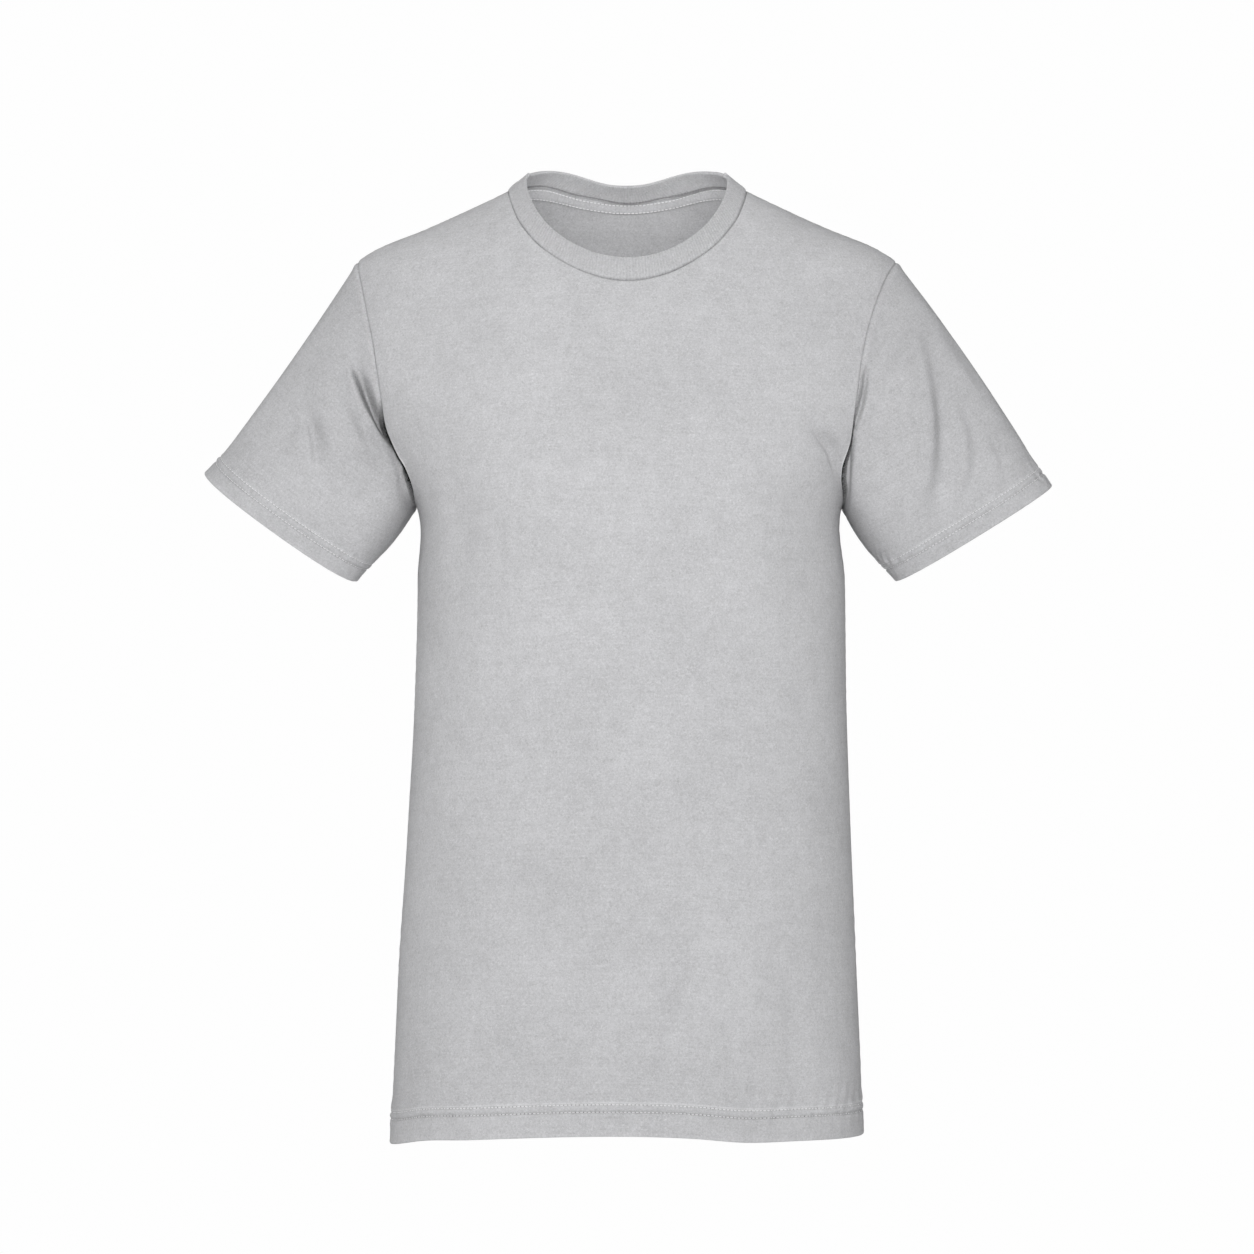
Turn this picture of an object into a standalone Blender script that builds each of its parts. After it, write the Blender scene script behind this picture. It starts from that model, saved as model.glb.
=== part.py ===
"""Crew neck t-shirt in plain cotton jersey, filled out as when worn, with nobody in it.

Metres, +Z up, the chest faces -Y. The origin lies between the shoulders, level with the two points
where the shoulder seams meet the neckband. Every piece is a thin wall on one shared form: level
sections of a torso, which the side, shoulder, armhole and neck seams divide.
"""

import math

import bmesh
import bpy
import numpy as np

# ---- Driving sizes ------------------------------------------------------------------------------

CLOTH = 0.0015              # jersey wall with its give
HEM_CLOTH = 0.0025          # two layers where the hem is turned up
RIB_CLOTH = 0.0024          # neckband of rib folded double
TAPE_CLOTH = 0.0009
SEAM_GAP = 0.0003           # left between pieces that are sewn together
TAPE_GAP = 0.0006           # tape to the back panel that it lies on
MITRE_LIMIT = 0.5           # smallest cosine that a seam's corner is drawn out for

HEM_DEPTH = 0.025
HEM_STEP = 0.001            # height over which the turned hem ends
SLEEVE_HEM_DEPTH = 0.017
SIDE_HEM_HEIGHT = -0.728    # about where the side seams end

ARMPIT_HEIGHT = -0.2426
SHOULDER_POINT_HEIGHT = -0.0545

# Level sections of the form. Roundness is the power of each oval: 2 is an ellipse, more is squarer.
FORM_COLUMNS = ("height", "middle_x", "half_width", "front_depth", "back_depth", "side_y", "roundness")
FORM = (
    (-0.7400, 0.0000, 0.1822, 0.1240, 0.1220, 0.000, 2.35),
    (-0.6600, 0.0003, 0.1788, 0.1245, 0.1180, 0.001, 2.38),
    (-0.6000, 0.0004, 0.1762, 0.1255, 0.1150, 0.002, 2.40),
    (-0.5000, 0.0016, 0.1708, 0.1280, 0.1100, 0.003, 2.42),
    (-0.4000, 0.0026, 0.1663, 0.1320, 0.1080, 0.004, 2.45),
    (-0.3000, 0.0032, 0.1644, 0.1395, 0.1100, 0.006, 2.45),
    (-0.2426, 0.0018, 0.1642, 0.1415, 0.1115, 0.008, 2.42),
    (-0.2000, 0.0004, 0.1900, 0.1360, 0.1125, 0.010, 2.36),
    (-0.1500, 0.0000, 0.2130, 0.1210, 0.1095, 0.011, 2.26),
    (-0.1100, 0.0000, 0.2210, 0.1040, 0.1030, 0.012, 2.16),
    (-0.0800, 0.0000, 0.2185, 0.0895, 0.0955, 0.012, 2.08),
    (-0.0545, 0.0000, 0.2078, 0.0776, 0.0872, 0.012, 2.03),
    (-0.0451, 0.0000, 0.1935, 0.0735, 0.0838, 0.012, 2.00),
    (-0.0297, 0.0000, 0.1566, 0.0662, 0.0755, 0.012, 2.00),
    (-0.0142, 0.0000, 0.1219, 0.0588, 0.0672, 0.012, 2.00),
    (0.0000, 0.0000, 0.0925, 0.0510, 0.0580, 0.012, 2.00),
    (0.0070, 0.0000, 0.0820, 0.0620, 0.0408, 0.026, 2.00),
    (0.0140, 0.0000, 0.0710, 0.0730, 0.0240, 0.040, 2.00),
)

# Bottom edge of the body, as seen from the front and from the back.
HEM_COLUMNS = ("x", "front", "back")
HEM = (
    (-0.1820, -0.7318, -0.7318),
    (-0.1600, -0.7258, -0.7338),
    (-0.1200, -0.7224, -0.7348),
    (-0.0600, -0.7190, -0.7350),
    (0.0000, -0.7180, -0.7345),
    (0.0500, -0.7198, -0.7338),
    (0.0900, -0.7234, -0.7325),
    (0.1350, -0.7234, -0.7295),
    (0.1820, -0.7241, -0.7241),
)

# Where each armhole seam runs, as its distance from the middle at each height.
ARMHOLE_COLUMNS = ("height", "right_x", "left_x")
ARMHOLE = (
    (-0.2426, 0.1624, 0.1660),
    (-0.2298, 0.1634, 0.1648),
    (-0.2175, 0.1672, 0.1652),
    (-0.2044, 0.1745, 0.1672),
    (-0.1890, 0.1818, 0.1702),
    (-0.1605, 0.1876, 0.1750),
    (-0.1212, 0.1942, 0.1812),
    (-0.1011, 0.1984, 0.1866),
    (-0.0803, 0.2028, 0.1940),
    (-0.0657, 0.2060, 0.2008),
    (-0.0545, 0.2078, 0.2078),
)

# Neck seam from the shoulder seam in to the middle, as seen from the front and from the back.
NECK_COLUMNS = ("x", "height")
NECK_FRONT = (
    (0.0925, 0.0000),
    (0.0893, -0.0110),
    (0.0815, -0.0275),
    (0.0630, -0.0485),
    (0.0325, -0.0664),
    (0.0000, -0.0728),
)
NECK_BACK = (
    (0.0925, 0.0000),
    (0.0850, 0.0042),
    (0.0735, 0.0066),
    (0.0590, 0.0058),
    (0.0330, 0.0000),
    (0.0000, -0.0034),
)

# The neckband stands up from its seam and leans in towards the middle of the neck.
NECKBAND_COLUMNS = ("turn_deg", "lean_in", "rise")
NECKBAND = (
    (0.0, 0.0070, 0.0172),
    (22.0, 0.0098, 0.0164),
    (48.0, 0.0138, 0.0145),
    (95.0, 0.0150, 0.0122),
    (140.0, 0.0150, 0.0102),
    (180.0, 0.0150, 0.0120),
)
NECKBAND_CROWN = 0.0006     # how far the band swells between seam and fold
NECKBAND_FOLD_START = 0.93  # share of the band's width where the folded edge begins to turn
RIB_SEAM_START = 0.05       # share of the band's width that the seam presses flat
RIB_COUNT = 288             # raised wales all round
RIB_HEIGHT = 0.0003
TAPE_WIDTH = 0.0105
TAPE_START = 0.0007         # tape's upper edge below the neck seam
TAPE_END_SHARE = 0.15       # share of the first neck segment that the tape leaves free

# Sleeve openings, seen from the front: the upper and lower corner of each hem, how far the front
# of the opening hangs past its middle, and how full the sleeve is along its top and underside.
SLEEVE_COLUMNS = (
    "name", "side", "top_x", "top_z", "under_x", "under_z", "front_drop", "top_crown", "under_crown",
)
SLEEVES = (
    ("sleeve_right", -1, 0.3219, -0.2176, 0.2094, -0.2984, 0.0062, -0.0022, 0.0042),
    ("sleeve_left", 1, 0.3242, -0.2276, 0.2087, -0.2985, 0.0030, 0.0040, 0.0052),
)
SLEEVE_HALF_DEPTH = 0.044   # half the opening from front to back
SLEEVE_MIDDLE_Y = -0.002
SLEEVE_ROUNDNESS = 2.40
SLEEVE_CROWN = 0.005        # fullness between armhole and hem, front and back
SLEEVE_SWELL_POWER = 0.8    # how evenly the fullness is spread along the sleeve
SLEEVE_FLARE = 0.002        # the hem band stands off a little
FLARE_SHARE = 0.15          # last share of the sleeve, over which it flares
FOLD_FREE_START = 0.12      # shares of the sleeve at armhole and hem where folds die away
FOLD_FREE_END = 0.15

# Largest folds, seen from the front: a straight run from one end to the other, its bow to one
# side, its half width and its depth. A negative depth is a ridge.
FOLD_END = 0.08             # how blunt a fold's ends are
FOLD_COLUMNS = ("face", "x0", "z0", "x1", "z1", "bow", "half_width", "depth")
FOLDS = (
    ("front", 0.143, -0.183, 0.160, -0.222, 0.005, 0.009, 0.0055),
    ("front", 0.148, -0.172, 0.166, -0.205, 0.004, 0.008, -0.0025),
    ("front", -0.150, -0.205, -0.172, -0.192, -0.002, 0.009, 0.0035),
    ("front", 0.056, -0.560, 0.024, -0.668, -0.002, 0.019, 0.0035),
    ("front", 0.126, -0.600, 0.122, -0.700, -0.002, 0.022, 0.0040),
    ("front", -0.100, -0.560, -0.118, -0.690, -0.004, 0.024, 0.0025),
    ("back", 0.120, -0.170, 0.158, -0.240, -0.006, 0.014, 0.0045),
    ("back", -0.118, -0.180, -0.158, -0.250, 0.005, 0.013, 0.0040),
    ("back", 0.058, -0.420, 0.082, -0.600, -0.006, 0.022, 0.0040),
    ("back", -0.050, -0.470, -0.076, -0.670, 0.005, 0.024, 0.0040),
    ("back", 0.010, -0.560, 0.022, -0.700, -0.003, 0.022, 0.0030),
    ("front", -0.209, -0.118, -0.183, -0.188, -0.006, 0.009, 0.0060),
    ("front", -0.249, -0.160, -0.236, -0.208, -0.003, 0.011, 0.0030),
    ("front", -0.220, -0.166, -0.194, -0.212, -0.003, 0.011, 0.0035),
    ("front", -0.258, -0.164, -0.264, -0.204, -0.002, 0.012, 0.0020),
    ("front", 0.224, -0.108, 0.231, -0.256, 0.010, 0.011, 0.0055),
    ("front", 0.214, -0.140, 0.222, -0.235, 0.009, 0.010, -0.0030),
    ("front", 0.256, -0.166, 0.256, -0.240, 0.007, 0.010, 0.0035),
    ("front", 0.196, -0.104, 0.186, -0.170, -0.003, 0.009, 0.0040),
    ("back", -0.205, -0.120, -0.218, -0.240, -0.008, 0.013, 0.0045),
    ("back", -0.236, -0.150, -0.262, -0.215, -0.004, 0.012, 0.0030),
    ("back", 0.206, -0.118, 0.222, -0.236, 0.008, 0.013, 0.0045),
    ("back", 0.242, -0.150, 0.266, -0.220, 0.004, 0.012, 0.0030),
)

# Mesh counts. A seam has the same points on both of its pieces.
SHOULDER_STEPS = 5          # along each shoulder seam
NECK_STEPS = 8              # along the neck seam from the shoulder seam to the middle
BODY_STEPS = 13             # rows between the turned hem and the armpit
ARMHOLE_STEPS = 14          # rows beside each armhole
SLEEVE_STEPS = 12           # rings between armhole and turned hem
BAND_RING_STEPS = 64        # sides of the neckband's plain rings

HALF_COLUMNS = SHOULDER_STEPS + NECK_STEPS
COLUMNS = 2 * HALF_COLUMNS
BODY_ROWS = BODY_STEPS + 2
ROWS = BODY_ROWS + ARMHOLE_STEPS
NECK_RING_STEPS = 4 * NECK_STEPS
RIGHT_ANGLE = math.pi / 2
CURVE_SAMPLES = 400
FADE_POWER = 1.5            # how fast an armhole's pull on the rows dies away towards the middle

JERSEY_COLOUR = (0.527, 0.527, 0.539, 1.0)
RIB_COLOUR = (0.515, 0.515, 0.527, 1.0)
TAPE_COLOUR = (0.540, 0.540, 0.552, 1.0)
CLOTH_ROUGHNESS = 0.92
SHARP_ANGLE = math.radians(50)


# ---- Curves through table rows ------------------------------------------------------------------

def column(table, names, name):
    place = names.index(name)
    return np.array([row[place] for row in table])


def smooth(knots, values, at):
    """Value at each place on a smooth curve through the knots."""
    knots = np.asarray(knots, dtype=float)
    values = np.asarray(values, dtype=float)
    slopes = np.gradient(values, knots)
    at = np.clip(at, knots[0], knots[-1])
    low = np.clip(np.searchsorted(knots, at) - 1, 0, len(knots) - 2)
    span = knots[low + 1] - knots[low]
    s = (at - knots[low]) / span
    near = (1 + 2 * s) * (1 - s) ** 2 * values[low] + s * (1 - s) ** 2 * span * slopes[low]
    far = s * s * (3 - 2 * s) * values[low + 1] + s * s * (s - 1) * span * slopes[low + 1]
    return near + far


def even_places(points, count):
    """Places from 0 to 1 on a sampled curve that cut its length into equal steps."""
    lengths = np.linalg.norm(np.diff(points, axis=0), axis=1)
    travelled = np.concatenate(([0.0], np.cumsum(lengths)))
    wanted = np.linspace(0.0, travelled[-1], count + 1)
    return np.interp(wanted, travelled, np.linspace(0.0, 1.0, len(points)))


def unit(vectors):
    return vectors / np.linalg.norm(vectors, axis=-1, keepdims=True)


# ---- The form -----------------------------------------------------------------------------------

def form_value(name, height):
    heights = column(FORM, FORM_COLUMNS, "height")
    return smooth(heights, column(FORM, FORM_COLUMNS, name), height)


def form_point(face, angle, height):
    """Point of the form. The angle runs from the middle of the front or back to +-90 at a side."""
    power = 2.0 / form_value("roundness", height)
    depth_name = "front_depth" if face == "front" else "back_depth"
    outward = -1.0 if face == "front" else 1.0
    across = np.sign(np.sin(angle)) * np.abs(np.sin(angle)) ** power
    out = np.abs(np.cos(angle)) ** power
    x = form_value("middle_x", height) + form_value("half_width", height) * across
    y = form_value("side_y", height) + outward * form_value(depth_name, height) * out
    return np.stack(np.broadcast_arrays(x, y, height), axis=-1)


def angle_at(x, height):
    """Angle on the form's section at a place seen from the front."""
    off = x - form_value("middle_x", height)
    share = np.clip(np.abs(off) / form_value("half_width", height), 0.0, 1.0)
    return np.sign(off) * np.arcsin(share ** (form_value("roundness", height) / 2.0))


def armhole_edge(face, side):
    """Front view x and height along one panel's armhole, from the armpit up, at even distances."""
    name = "right_x" if side < 0 else "left_x"
    swing = np.linspace(0.0, math.pi, CURVE_SAMPLES)
    rise = SHOULDER_POINT_HEIGHT - ARMPIT_HEIGHT
    heights = ARMPIT_HEIGHT + rise * (1 - np.cos(swing)) / 2
    knots = column(ARMHOLE, ARMHOLE_COLUMNS, "height")
    x = side * smooth(knots, column(ARMHOLE, ARMHOLE_COLUMNS, name), heights)
    places = even_places(form_point(face, angle_at(x, heights), heights), CURVE_SAMPLES - 1)
    samples = np.linspace(0.0, 1.0, CURVE_SAMPLES)
    return np.interp(places, samples, x), np.interp(places, samples, heights)


def top_edge(face):
    """Front view x and height along a panel's top edge: shoulder seam, neck seam, shoulder seam."""
    table = NECK_FRONT if face == "front" else NECK_BACK
    samples = np.linspace(0.0, 1.0, CURVE_SAMPLES)
    ridge_heights = np.linspace(SHOULDER_POINT_HEIGHT, 0.0, CURVE_SAMPLES)
    ridge = form_point(face, np.full(CURVE_SAMPLES, RIGHT_ANGLE), ridge_heights)
    shoulder_heights = np.interp(even_places(ridge, SHOULDER_STEPS), samples, ridge_heights)
    shoulder_x = form_value("half_width", shoulder_heights)
    knots = np.linspace(0.0, 1.0, len(table))
    neck_x = smooth(knots, column(table, NECK_COLUMNS, "x"), samples)
    neck_heights = smooth(knots, column(table, NECK_COLUMNS, "height"), samples)
    neck = form_point(face, angle_at(neck_x, neck_heights), neck_heights)
    places = even_places(neck, NECK_STEPS)[1:]
    half_x = np.concatenate((shoulder_x, np.interp(places, samples, neck_x)))
    half_heights = np.concatenate((shoulder_heights, np.interp(places, samples, neck_heights)))
    return np.concatenate((-half_x, half_x[-2::-1])), np.concatenate((half_heights, half_heights[-2::-1]))


def hem_height(face, angle):
    """Bottom edge of the body at an angle of the form."""
    x = form_point(face, angle, np.full(angle.shape, SIDE_HEM_HEIGHT))[:, 0]
    return smooth(column(HEM, HEM_COLUMNS, "x"), column(HEM, HEM_COLUMNS, face), x)


def panel_points(face):
    """Grid points of a panel, columns across and rows from the hem to the shoulder and neck."""
    samples = np.linspace(-RIGHT_ANGLE, RIGHT_ANGLE, CURVE_SAMPLES)
    section = form_point(face, samples, np.full(CURVE_SAMPLES, ARMPIT_HEIGHT))
    places = even_places(section, COLUMNS)
    angles = np.interp(places, np.linspace(0.0, 1.0, CURVE_SAMPLES), samples)
    points = np.zeros((COLUMNS + 1, ROWS + 1, 3))
    bottom = hem_height(face, angles)
    turned = bottom + HEM_DEPTH
    points[:, 0] = form_point(face, angles, bottom)
    points[:, 1] = form_point(face, angles, turned - HEM_STEP)
    for step in range(BODY_STEPS + 1):
        share = step / BODY_STEPS
        points[:, step + 2] = form_point(face, angles, turned + (ARMPIT_HEIGHT - turned) * share)

    top_x, top_heights = top_edge(face)
    armpit_x = points[:, BODY_ROWS, 0]
    right_x, right_heights = armhole_edge(face, -1)
    left_x, left_heights = armhole_edge(face, 1)
    shares = np.linspace(0.0, 1.0, CURVE_SAMPLES)
    for place, across in enumerate(np.linspace(-1.0, 1.0, COLUMNS + 1)):
        right_fade = max(0.0, -across) ** FADE_POWER
        left_fade = max(0.0, across) ** FADE_POWER
        x = (1 - shares) * armpit_x[place] + shares * top_x[place]
        x = x + right_fade * (right_x - (1 - shares) * armpit_x[0] - shares * top_x[0])
        x = x + left_fade * (left_x - (1 - shares) * armpit_x[-1] - shares * top_x[-1])
        heights = (1 - shares) * ARMPIT_HEIGHT + shares * top_heights[place]
        straight_heights = (1 - shares) * ARMPIT_HEIGHT + shares * SHOULDER_POINT_HEIGHT
        heights = heights + right_fade * (right_heights - straight_heights)
        heights = heights + left_fade * (left_heights - straight_heights)
        line = form_point(face, angle_at(x, heights), heights)
        steps = even_places(line, ARMHOLE_STEPS)
        for axis in range(3):
            points[place, BODY_ROWS:, axis] = np.interp(steps, shares, line[:, axis])
    return points


# ---- Folds and normals --------------------------------------------------------------------------

def fold_depth(face, x, z):
    """How deep the folds press the cloth in at places seen from the front."""
    total = np.zeros(np.shape(x))
    for row in FOLDS:
        fold = dict(zip(FOLD_COLUMNS, row))
        if fold["face"] != face:
            continue
        run = np.array((fold["x1"] - fold["x0"], fold["z1"] - fold["z0"]))
        length = np.linalg.norm(run)
        run = run / length
        along = (x - fold["x0"]) * run[0] + (z - fold["z0"]) * run[1]
        share = np.clip(along / length, 0.0, 1.0)
        off = (z - fold["z0"]) * run[0] - (x - fold["x0"]) * run[1] - fold["bow"] * np.sin(math.pi * share)
        past = along - share * length
        near = np.exp(-(off ** 2 + past ** 2) / fold["half_width"] ** 2)
        total += fold["depth"] * near * np.sqrt(np.sin(math.pi * (FOLD_END + (1 - 2 * FOLD_END) * share)))
    return total


def grid_normals(points, closed, flip):
    """Unit normals of a grid of points. A closed grid's first and last columns are the same."""
    if closed:
        ahead = np.roll(points[:-1], -1, axis=0)
        behind = np.roll(points[:-1], 1, axis=0)
        around = np.concatenate((ahead - behind, (ahead - behind)[:1]))
    else:
        around = np.gradient(points, axis=0)
    normals = unit(np.cross(around, np.gradient(points, axis=1)))
    return -normals if flip else normals


def press_folds(points, normals, depth):
    return points - normals * depth[..., None]


# ---- Panels, sleeves and neckband as grids of points ----------------------------------------------

def make_panels():
    """Outer points and normals of the front and back panels."""
    panels = {}
    for face in ("front", "back"):
        points = panel_points(face)
        normals = grid_normals(points, closed=False, flip=face == "back")
        facing = np.clip(np.cos(angle_at(points[..., 0], points[..., 2])), 0.0, 1.0)
        facing[:, -1] = 0.0
        depth = fold_depth(face, points[..., 0], points[..., 2]) * facing ** 0.5
        points = press_folds(points, normals, depth)
        normals = grid_normals(points, closed=False, flip=face == "back")
        panels[face] = {"points": points, "normals": normals}
    for edge in (0, -1):
        meeting = slice(0, BODY_ROWS + 1)
        share_points(panels, edge, meeting)
    for seam in (slice(0, SHOULDER_STEPS + 1), slice(COLUMNS - SHOULDER_STEPS, COLUMNS + 1)):
        share_points(panels, seam, -1)
    return panels


def share_points(panels, columns, rows):
    """Give both panels the same points and the same normals along a seam."""
    front = panels["front"]
    back = panels["back"]
    middle = (front["points"][columns, rows] + back["points"][columns, rows]) / 2
    normal = unit(front["normals"][columns, rows] + back["normals"][columns, rows])
    for panel in (front, back):
        panel["points"][columns, rows] = middle
        panel["normals"][columns, rows] = normal


def armhole_ring(panels, edge, key):
    """Values round an armhole: up the front from the armpit, over the shoulder and down the back."""
    up = panels["front"][key][edge, BODY_ROWS:]
    down = panels["back"][key][edge, BODY_ROWS:]
    return np.concatenate((up, down[-2::-1]))


def neck_ring(panels, key):
    """Values round the neck seam: across the front from the right side, then across the back."""
    front = panels["front"][key][SHOULDER_STEPS:COLUMNS - SHOULDER_STEPS + 1, -1]
    back = panels["back"][key][SHOULDER_STEPS:COLUMNS - SHOULDER_STEPS + 1, -1]
    return np.concatenate((front, back[-2::-1]))


def sleeve_opening(sleeve, turns):
    """Edge of a sleeve's hem. A turn runs from 0 at the underside, over the front, to 1."""
    side = sleeve["side"]
    top = np.array((side * sleeve["top_x"], SLEEVE_MIDDLE_Y, sleeve["top_z"]))
    under = np.array((side * sleeve["under_x"], SLEEVE_MIDDLE_Y, sleeve["under_z"]))
    swing = 2 * math.pi * turns
    power = 2.0 / SLEEVE_ROUNDNESS
    rise = -np.sign(np.cos(swing)) * np.abs(np.cos(swing)) ** power
    forward = np.sign(np.sin(swing)) * np.abs(np.sin(swing)) ** power
    half = (top - under) / 2
    along = np.array((side * -half[2], 0.0, side * half[0])) / np.linalg.norm(half)
    along = along * np.sign(along[0]) * side
    points = (top + under) / 2 + rise[:, None] * half
    points = points + along * (sleeve["front_drop"] * forward)[:, None]
    points[:, 1] -= SLEEVE_HALF_DEPTH * forward
    return points, along, half / np.linalg.norm(half)


def make_sleeve(sleeve, panels):
    """Outer points and normals of a sleeve, rings from the armhole to the hem."""
    edge = 0 if sleeve["side"] < 0 else -1
    armhole = armhole_ring(panels, edge, "points")
    lengths = np.linalg.norm(np.diff(armhole, axis=0), axis=1)
    travelled = np.concatenate(([0.0], np.cumsum(lengths)))
    shoulder = travelled[ARMHOLE_STEPS]
    halves = (0.0, shoulder, travelled[-1])
    turns = np.interp(travelled, halves, (0.0, 0.5, 1.0))
    hem, along, upward = sleeve_opening(sleeve, turns)
    hem_share = SLEEVE_HEM_DEPTH / np.linalg.norm(hem - armhole, axis=1).mean()
    reaches = np.concatenate((
        np.linspace(0.0, 1.0 - hem_share, SLEEVE_STEPS + 1),
        (1.0 - hem_share + HEM_STEP * hem_share / SLEEVE_HEM_DEPTH, 1.0),
    ))
    points = armhole[:, None, :] + (hem - armhole)[:, None, :] * reaches[:, None]
    swell = np.sin(math.pi * reaches) ** SLEEVE_SWELL_POWER
    forward = np.sin(2 * math.pi * turns)
    rise = -np.cos(2 * math.pi * turns)
    fullness = np.where(rise > 0, sleeve["top_crown"], sleeve["under_crown"]) * rise
    points[..., 1] -= SLEEVE_CROWN * forward[:, None] * swell
    points = points + upward * (fullness[:, None] * swell)[..., None]
    flare = np.clip(reaches - 1 + FLARE_SHARE, 0.0, None) / FLARE_SHARE
    across = unit(hem - hem[:-1].mean(axis=0))
    points = points + across[:, None, :] * (SLEEVE_FLARE * flare ** 2)[:, None]
    flip = sleeve["side"] > 0
    normals = grid_normals(points, closed=True, flip=flip)
    settled = np.clip(reaches / FOLD_FREE_START, 0.0, 1.0)
    settled = settled * np.clip((1 - reaches) / FOLD_FREE_END, 0.0, 1.0)
    depth = np.zeros(points.shape[:2])
    for face, facing in (("front", forward > 0.0), ("back", forward < 0.0)):
        pressed = fold_depth(face, points[..., 0], points[..., 2])
        depth += pressed * (facing * np.abs(forward) ** 0.5)[:, None] * settled
    points = press_folds(points, normals, depth)
    return {"points": points, "normals": grid_normals(points, closed=True, flip=flip)}


def band_value(name, ring):
    """Neckband table value at each point of a ring, by its bearing from the middle front."""
    bearing = np.degrees(np.arctan2(np.abs(ring[:, 0]), -ring[:, 1]))
    turns = column(NECKBAND, NECKBAND_COLUMNS, "turn_deg")
    return smooth(turns, column(NECKBAND, NECKBAND_COLUMNS, name), bearing)


def periodic(ring, places):
    """Smooth values round a closed ring, whose last row repeats its first."""
    count = len(ring) - 1
    lap = np.concatenate((ring[-4:-1], ring, ring[1:4]))
    knots = np.arange(-3, count + 4)
    return np.stack([smooth(knots, lap[:, axis], places) for axis in range(ring.shape[1])], axis=-1)


def straight(ring, places):
    """Values on the straight runs between the points of a ring."""
    knots = np.arange(len(ring))
    return np.stack([np.interp(places, knots, ring[:, axis]) for axis in range(ring.shape[1])], axis=-1)


def make_neckband(panels):
    """Seam ring, folded edge and wall directions of the neckband at the points of the neck seam."""
    seam = neck_ring(panels, "points")
    middle = np.array((0.0, FORM[-1][FORM_COLUMNS.index("side_y")], 0.0))
    inward = unit((middle - seam) * (1.0, 1.0, 0.0))
    lean = band_value("lean_in", seam - middle)
    rise = band_value("rise", seam - middle)
    fold = seam + inward * lean[:, None]
    fold[:, 2] += rise
    normals = grid_normals(np.stack((seam, fold), axis=1), closed=True, flip=False)[:, 0]
    return {"points": seam, "fold": fold, "normals": normals}


# ---- Walls and seams ------------------------------------------------------------------------------

def mitre(body_normals, other_normals):
    """Direction in which the cloth's thickness runs at a seam between two pieces, drawn out."""
    shared = unit(unit(body_normals) + unit(other_normals))
    cosine = np.clip(np.sum(shared * unit(body_normals), axis=-1), MITRE_LIMIT, 1.0)
    return shared / cosine[:, None]


def set_back(piece, edge, beside, closed=False):
    """Move a seam edge of a piece half a seam gap back into the piece."""
    seam = piece["points"][edge]
    if closed:
        ahead = np.roll(seam[:-1], -1, axis=0) - np.roll(seam[:-1], 1, axis=0)
        along = np.concatenate((ahead, ahead[:1]))
    else:
        along = np.gradient(seam, axis=0)
    away = unit(np.cross(along, piece["through"][edge]))
    inside = np.sign(np.sum(away * (piece["points"][beside] - seam), axis=-1))
    piece["shift"][edge] += away * inside[:, None] * SEAM_GAP / 2


def join_seams(panels, sleeves, neckband):
    """Wall directions shared along every seam, and the gap that each seam leaves."""
    for piece in list(panels.values()) + list(sleeves.values()) + [neckband]:
        piece["through"] = piece["normals"].copy()
        piece["shift"] = np.zeros(piece["points"].shape)
    for sleeve in SLEEVES:
        edge = 0 if sleeve[1] < 0 else COLUMNS
        ring = sleeves[sleeve[0]]
        through = mitre(armhole_ring(panels, edge, "normals"), ring["normals"][:, 0])
        ring["through"][:, 0] = through
        panels["front"]["through"][edge, BODY_ROWS:] = through[:ARMHOLE_STEPS + 1]
        panels["back"]["through"][edge, BODY_ROWS:] = through[:ARMHOLE_STEPS - 1:-1]
        set_back(ring, (slice(None), 0), (slice(None), 1), closed=True)
    through = mitre(neck_ring(panels, "normals"), neckband["normals"])
    neckband["through"] = through
    neck = slice(SHOULDER_STEPS, COLUMNS - SHOULDER_STEPS + 1)
    panels["front"]["through"][neck, -1] = through[:2 * NECK_STEPS + 1]
    panels["back"]["through"][neck, -1] = through[:2 * NECK_STEPS - 1:-1]
    for panel in panels.values():
        for edge, beside in ((0, 1), (COLUMNS, COLUMNS - 1)):
            set_back(panel, (edge, slice(0, BODY_ROWS + 1)), (beside, slice(0, BODY_ROWS + 1)))
            set_back(panel, (edge, slice(BODY_ROWS, None)), (beside, slice(BODY_ROWS, None)))
        for seam in (slice(0, SHOULDER_STEPS + 1), neck, slice(COLUMNS - SHOULDER_STEPS, None)):
            set_back(panel, (seam, ROWS), (seam, ROWS - 1))
    away = unit(np.cross(np.gradient(neckband["points"], axis=0), neckband["through"]))
    upward = np.sign(np.sum(away * (neckband["fold"] - neckband["points"]), axis=-1))
    neckband["shift"] = away * upward[:, None] * SEAM_GAP / 2


def wall_grids(piece, thickness):
    outer = piece["points"] + piece["shift"]
    return outer, outer - piece["through"] * thickness


def wall_mesh(outer, inner, closed):
    """Closed wall between an outer and an inner grid, bridged along their open edges."""
    bm = bmesh.new()
    row_mark = bm.verts.layers.int.new("row_mark")
    columns = outer.shape[0] - 1
    rows = outer.shape[1] - 1
    for points, sign in ((outer, 1), (inner, -1)):
        sheet = bmesh.ops.create_grid(bm, x_segments=columns, y_segments=rows, size=1.0)["verts"]
        for vert in sheet:
            across = round((vert.co.x + 1) / 2 * columns)
            row = round((vert.co.y + 1) / 2 * rows)
            vert.co = points[across, row]
            vert[row_mark] = sign * (row + 1)
    if closed:
        bmesh.ops.remove_doubles(bm, verts=bm.verts, dist=1e-6)
    edges = [edge for edge in bm.edges if edge.is_boundary]
    if closed:
        for row in (0, rows):
            ends = [edge for edge in edges if abs(edge.verts[0][row_mark]) == row + 1]
            bmesh.ops.bridge_loops(bm, edges=ends)
    else:
        bmesh.ops.bridge_loops(bm, edges=edges)
    bmesh.ops.recalc_face_normals(bm, faces=bm.faces)
    return bm


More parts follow.
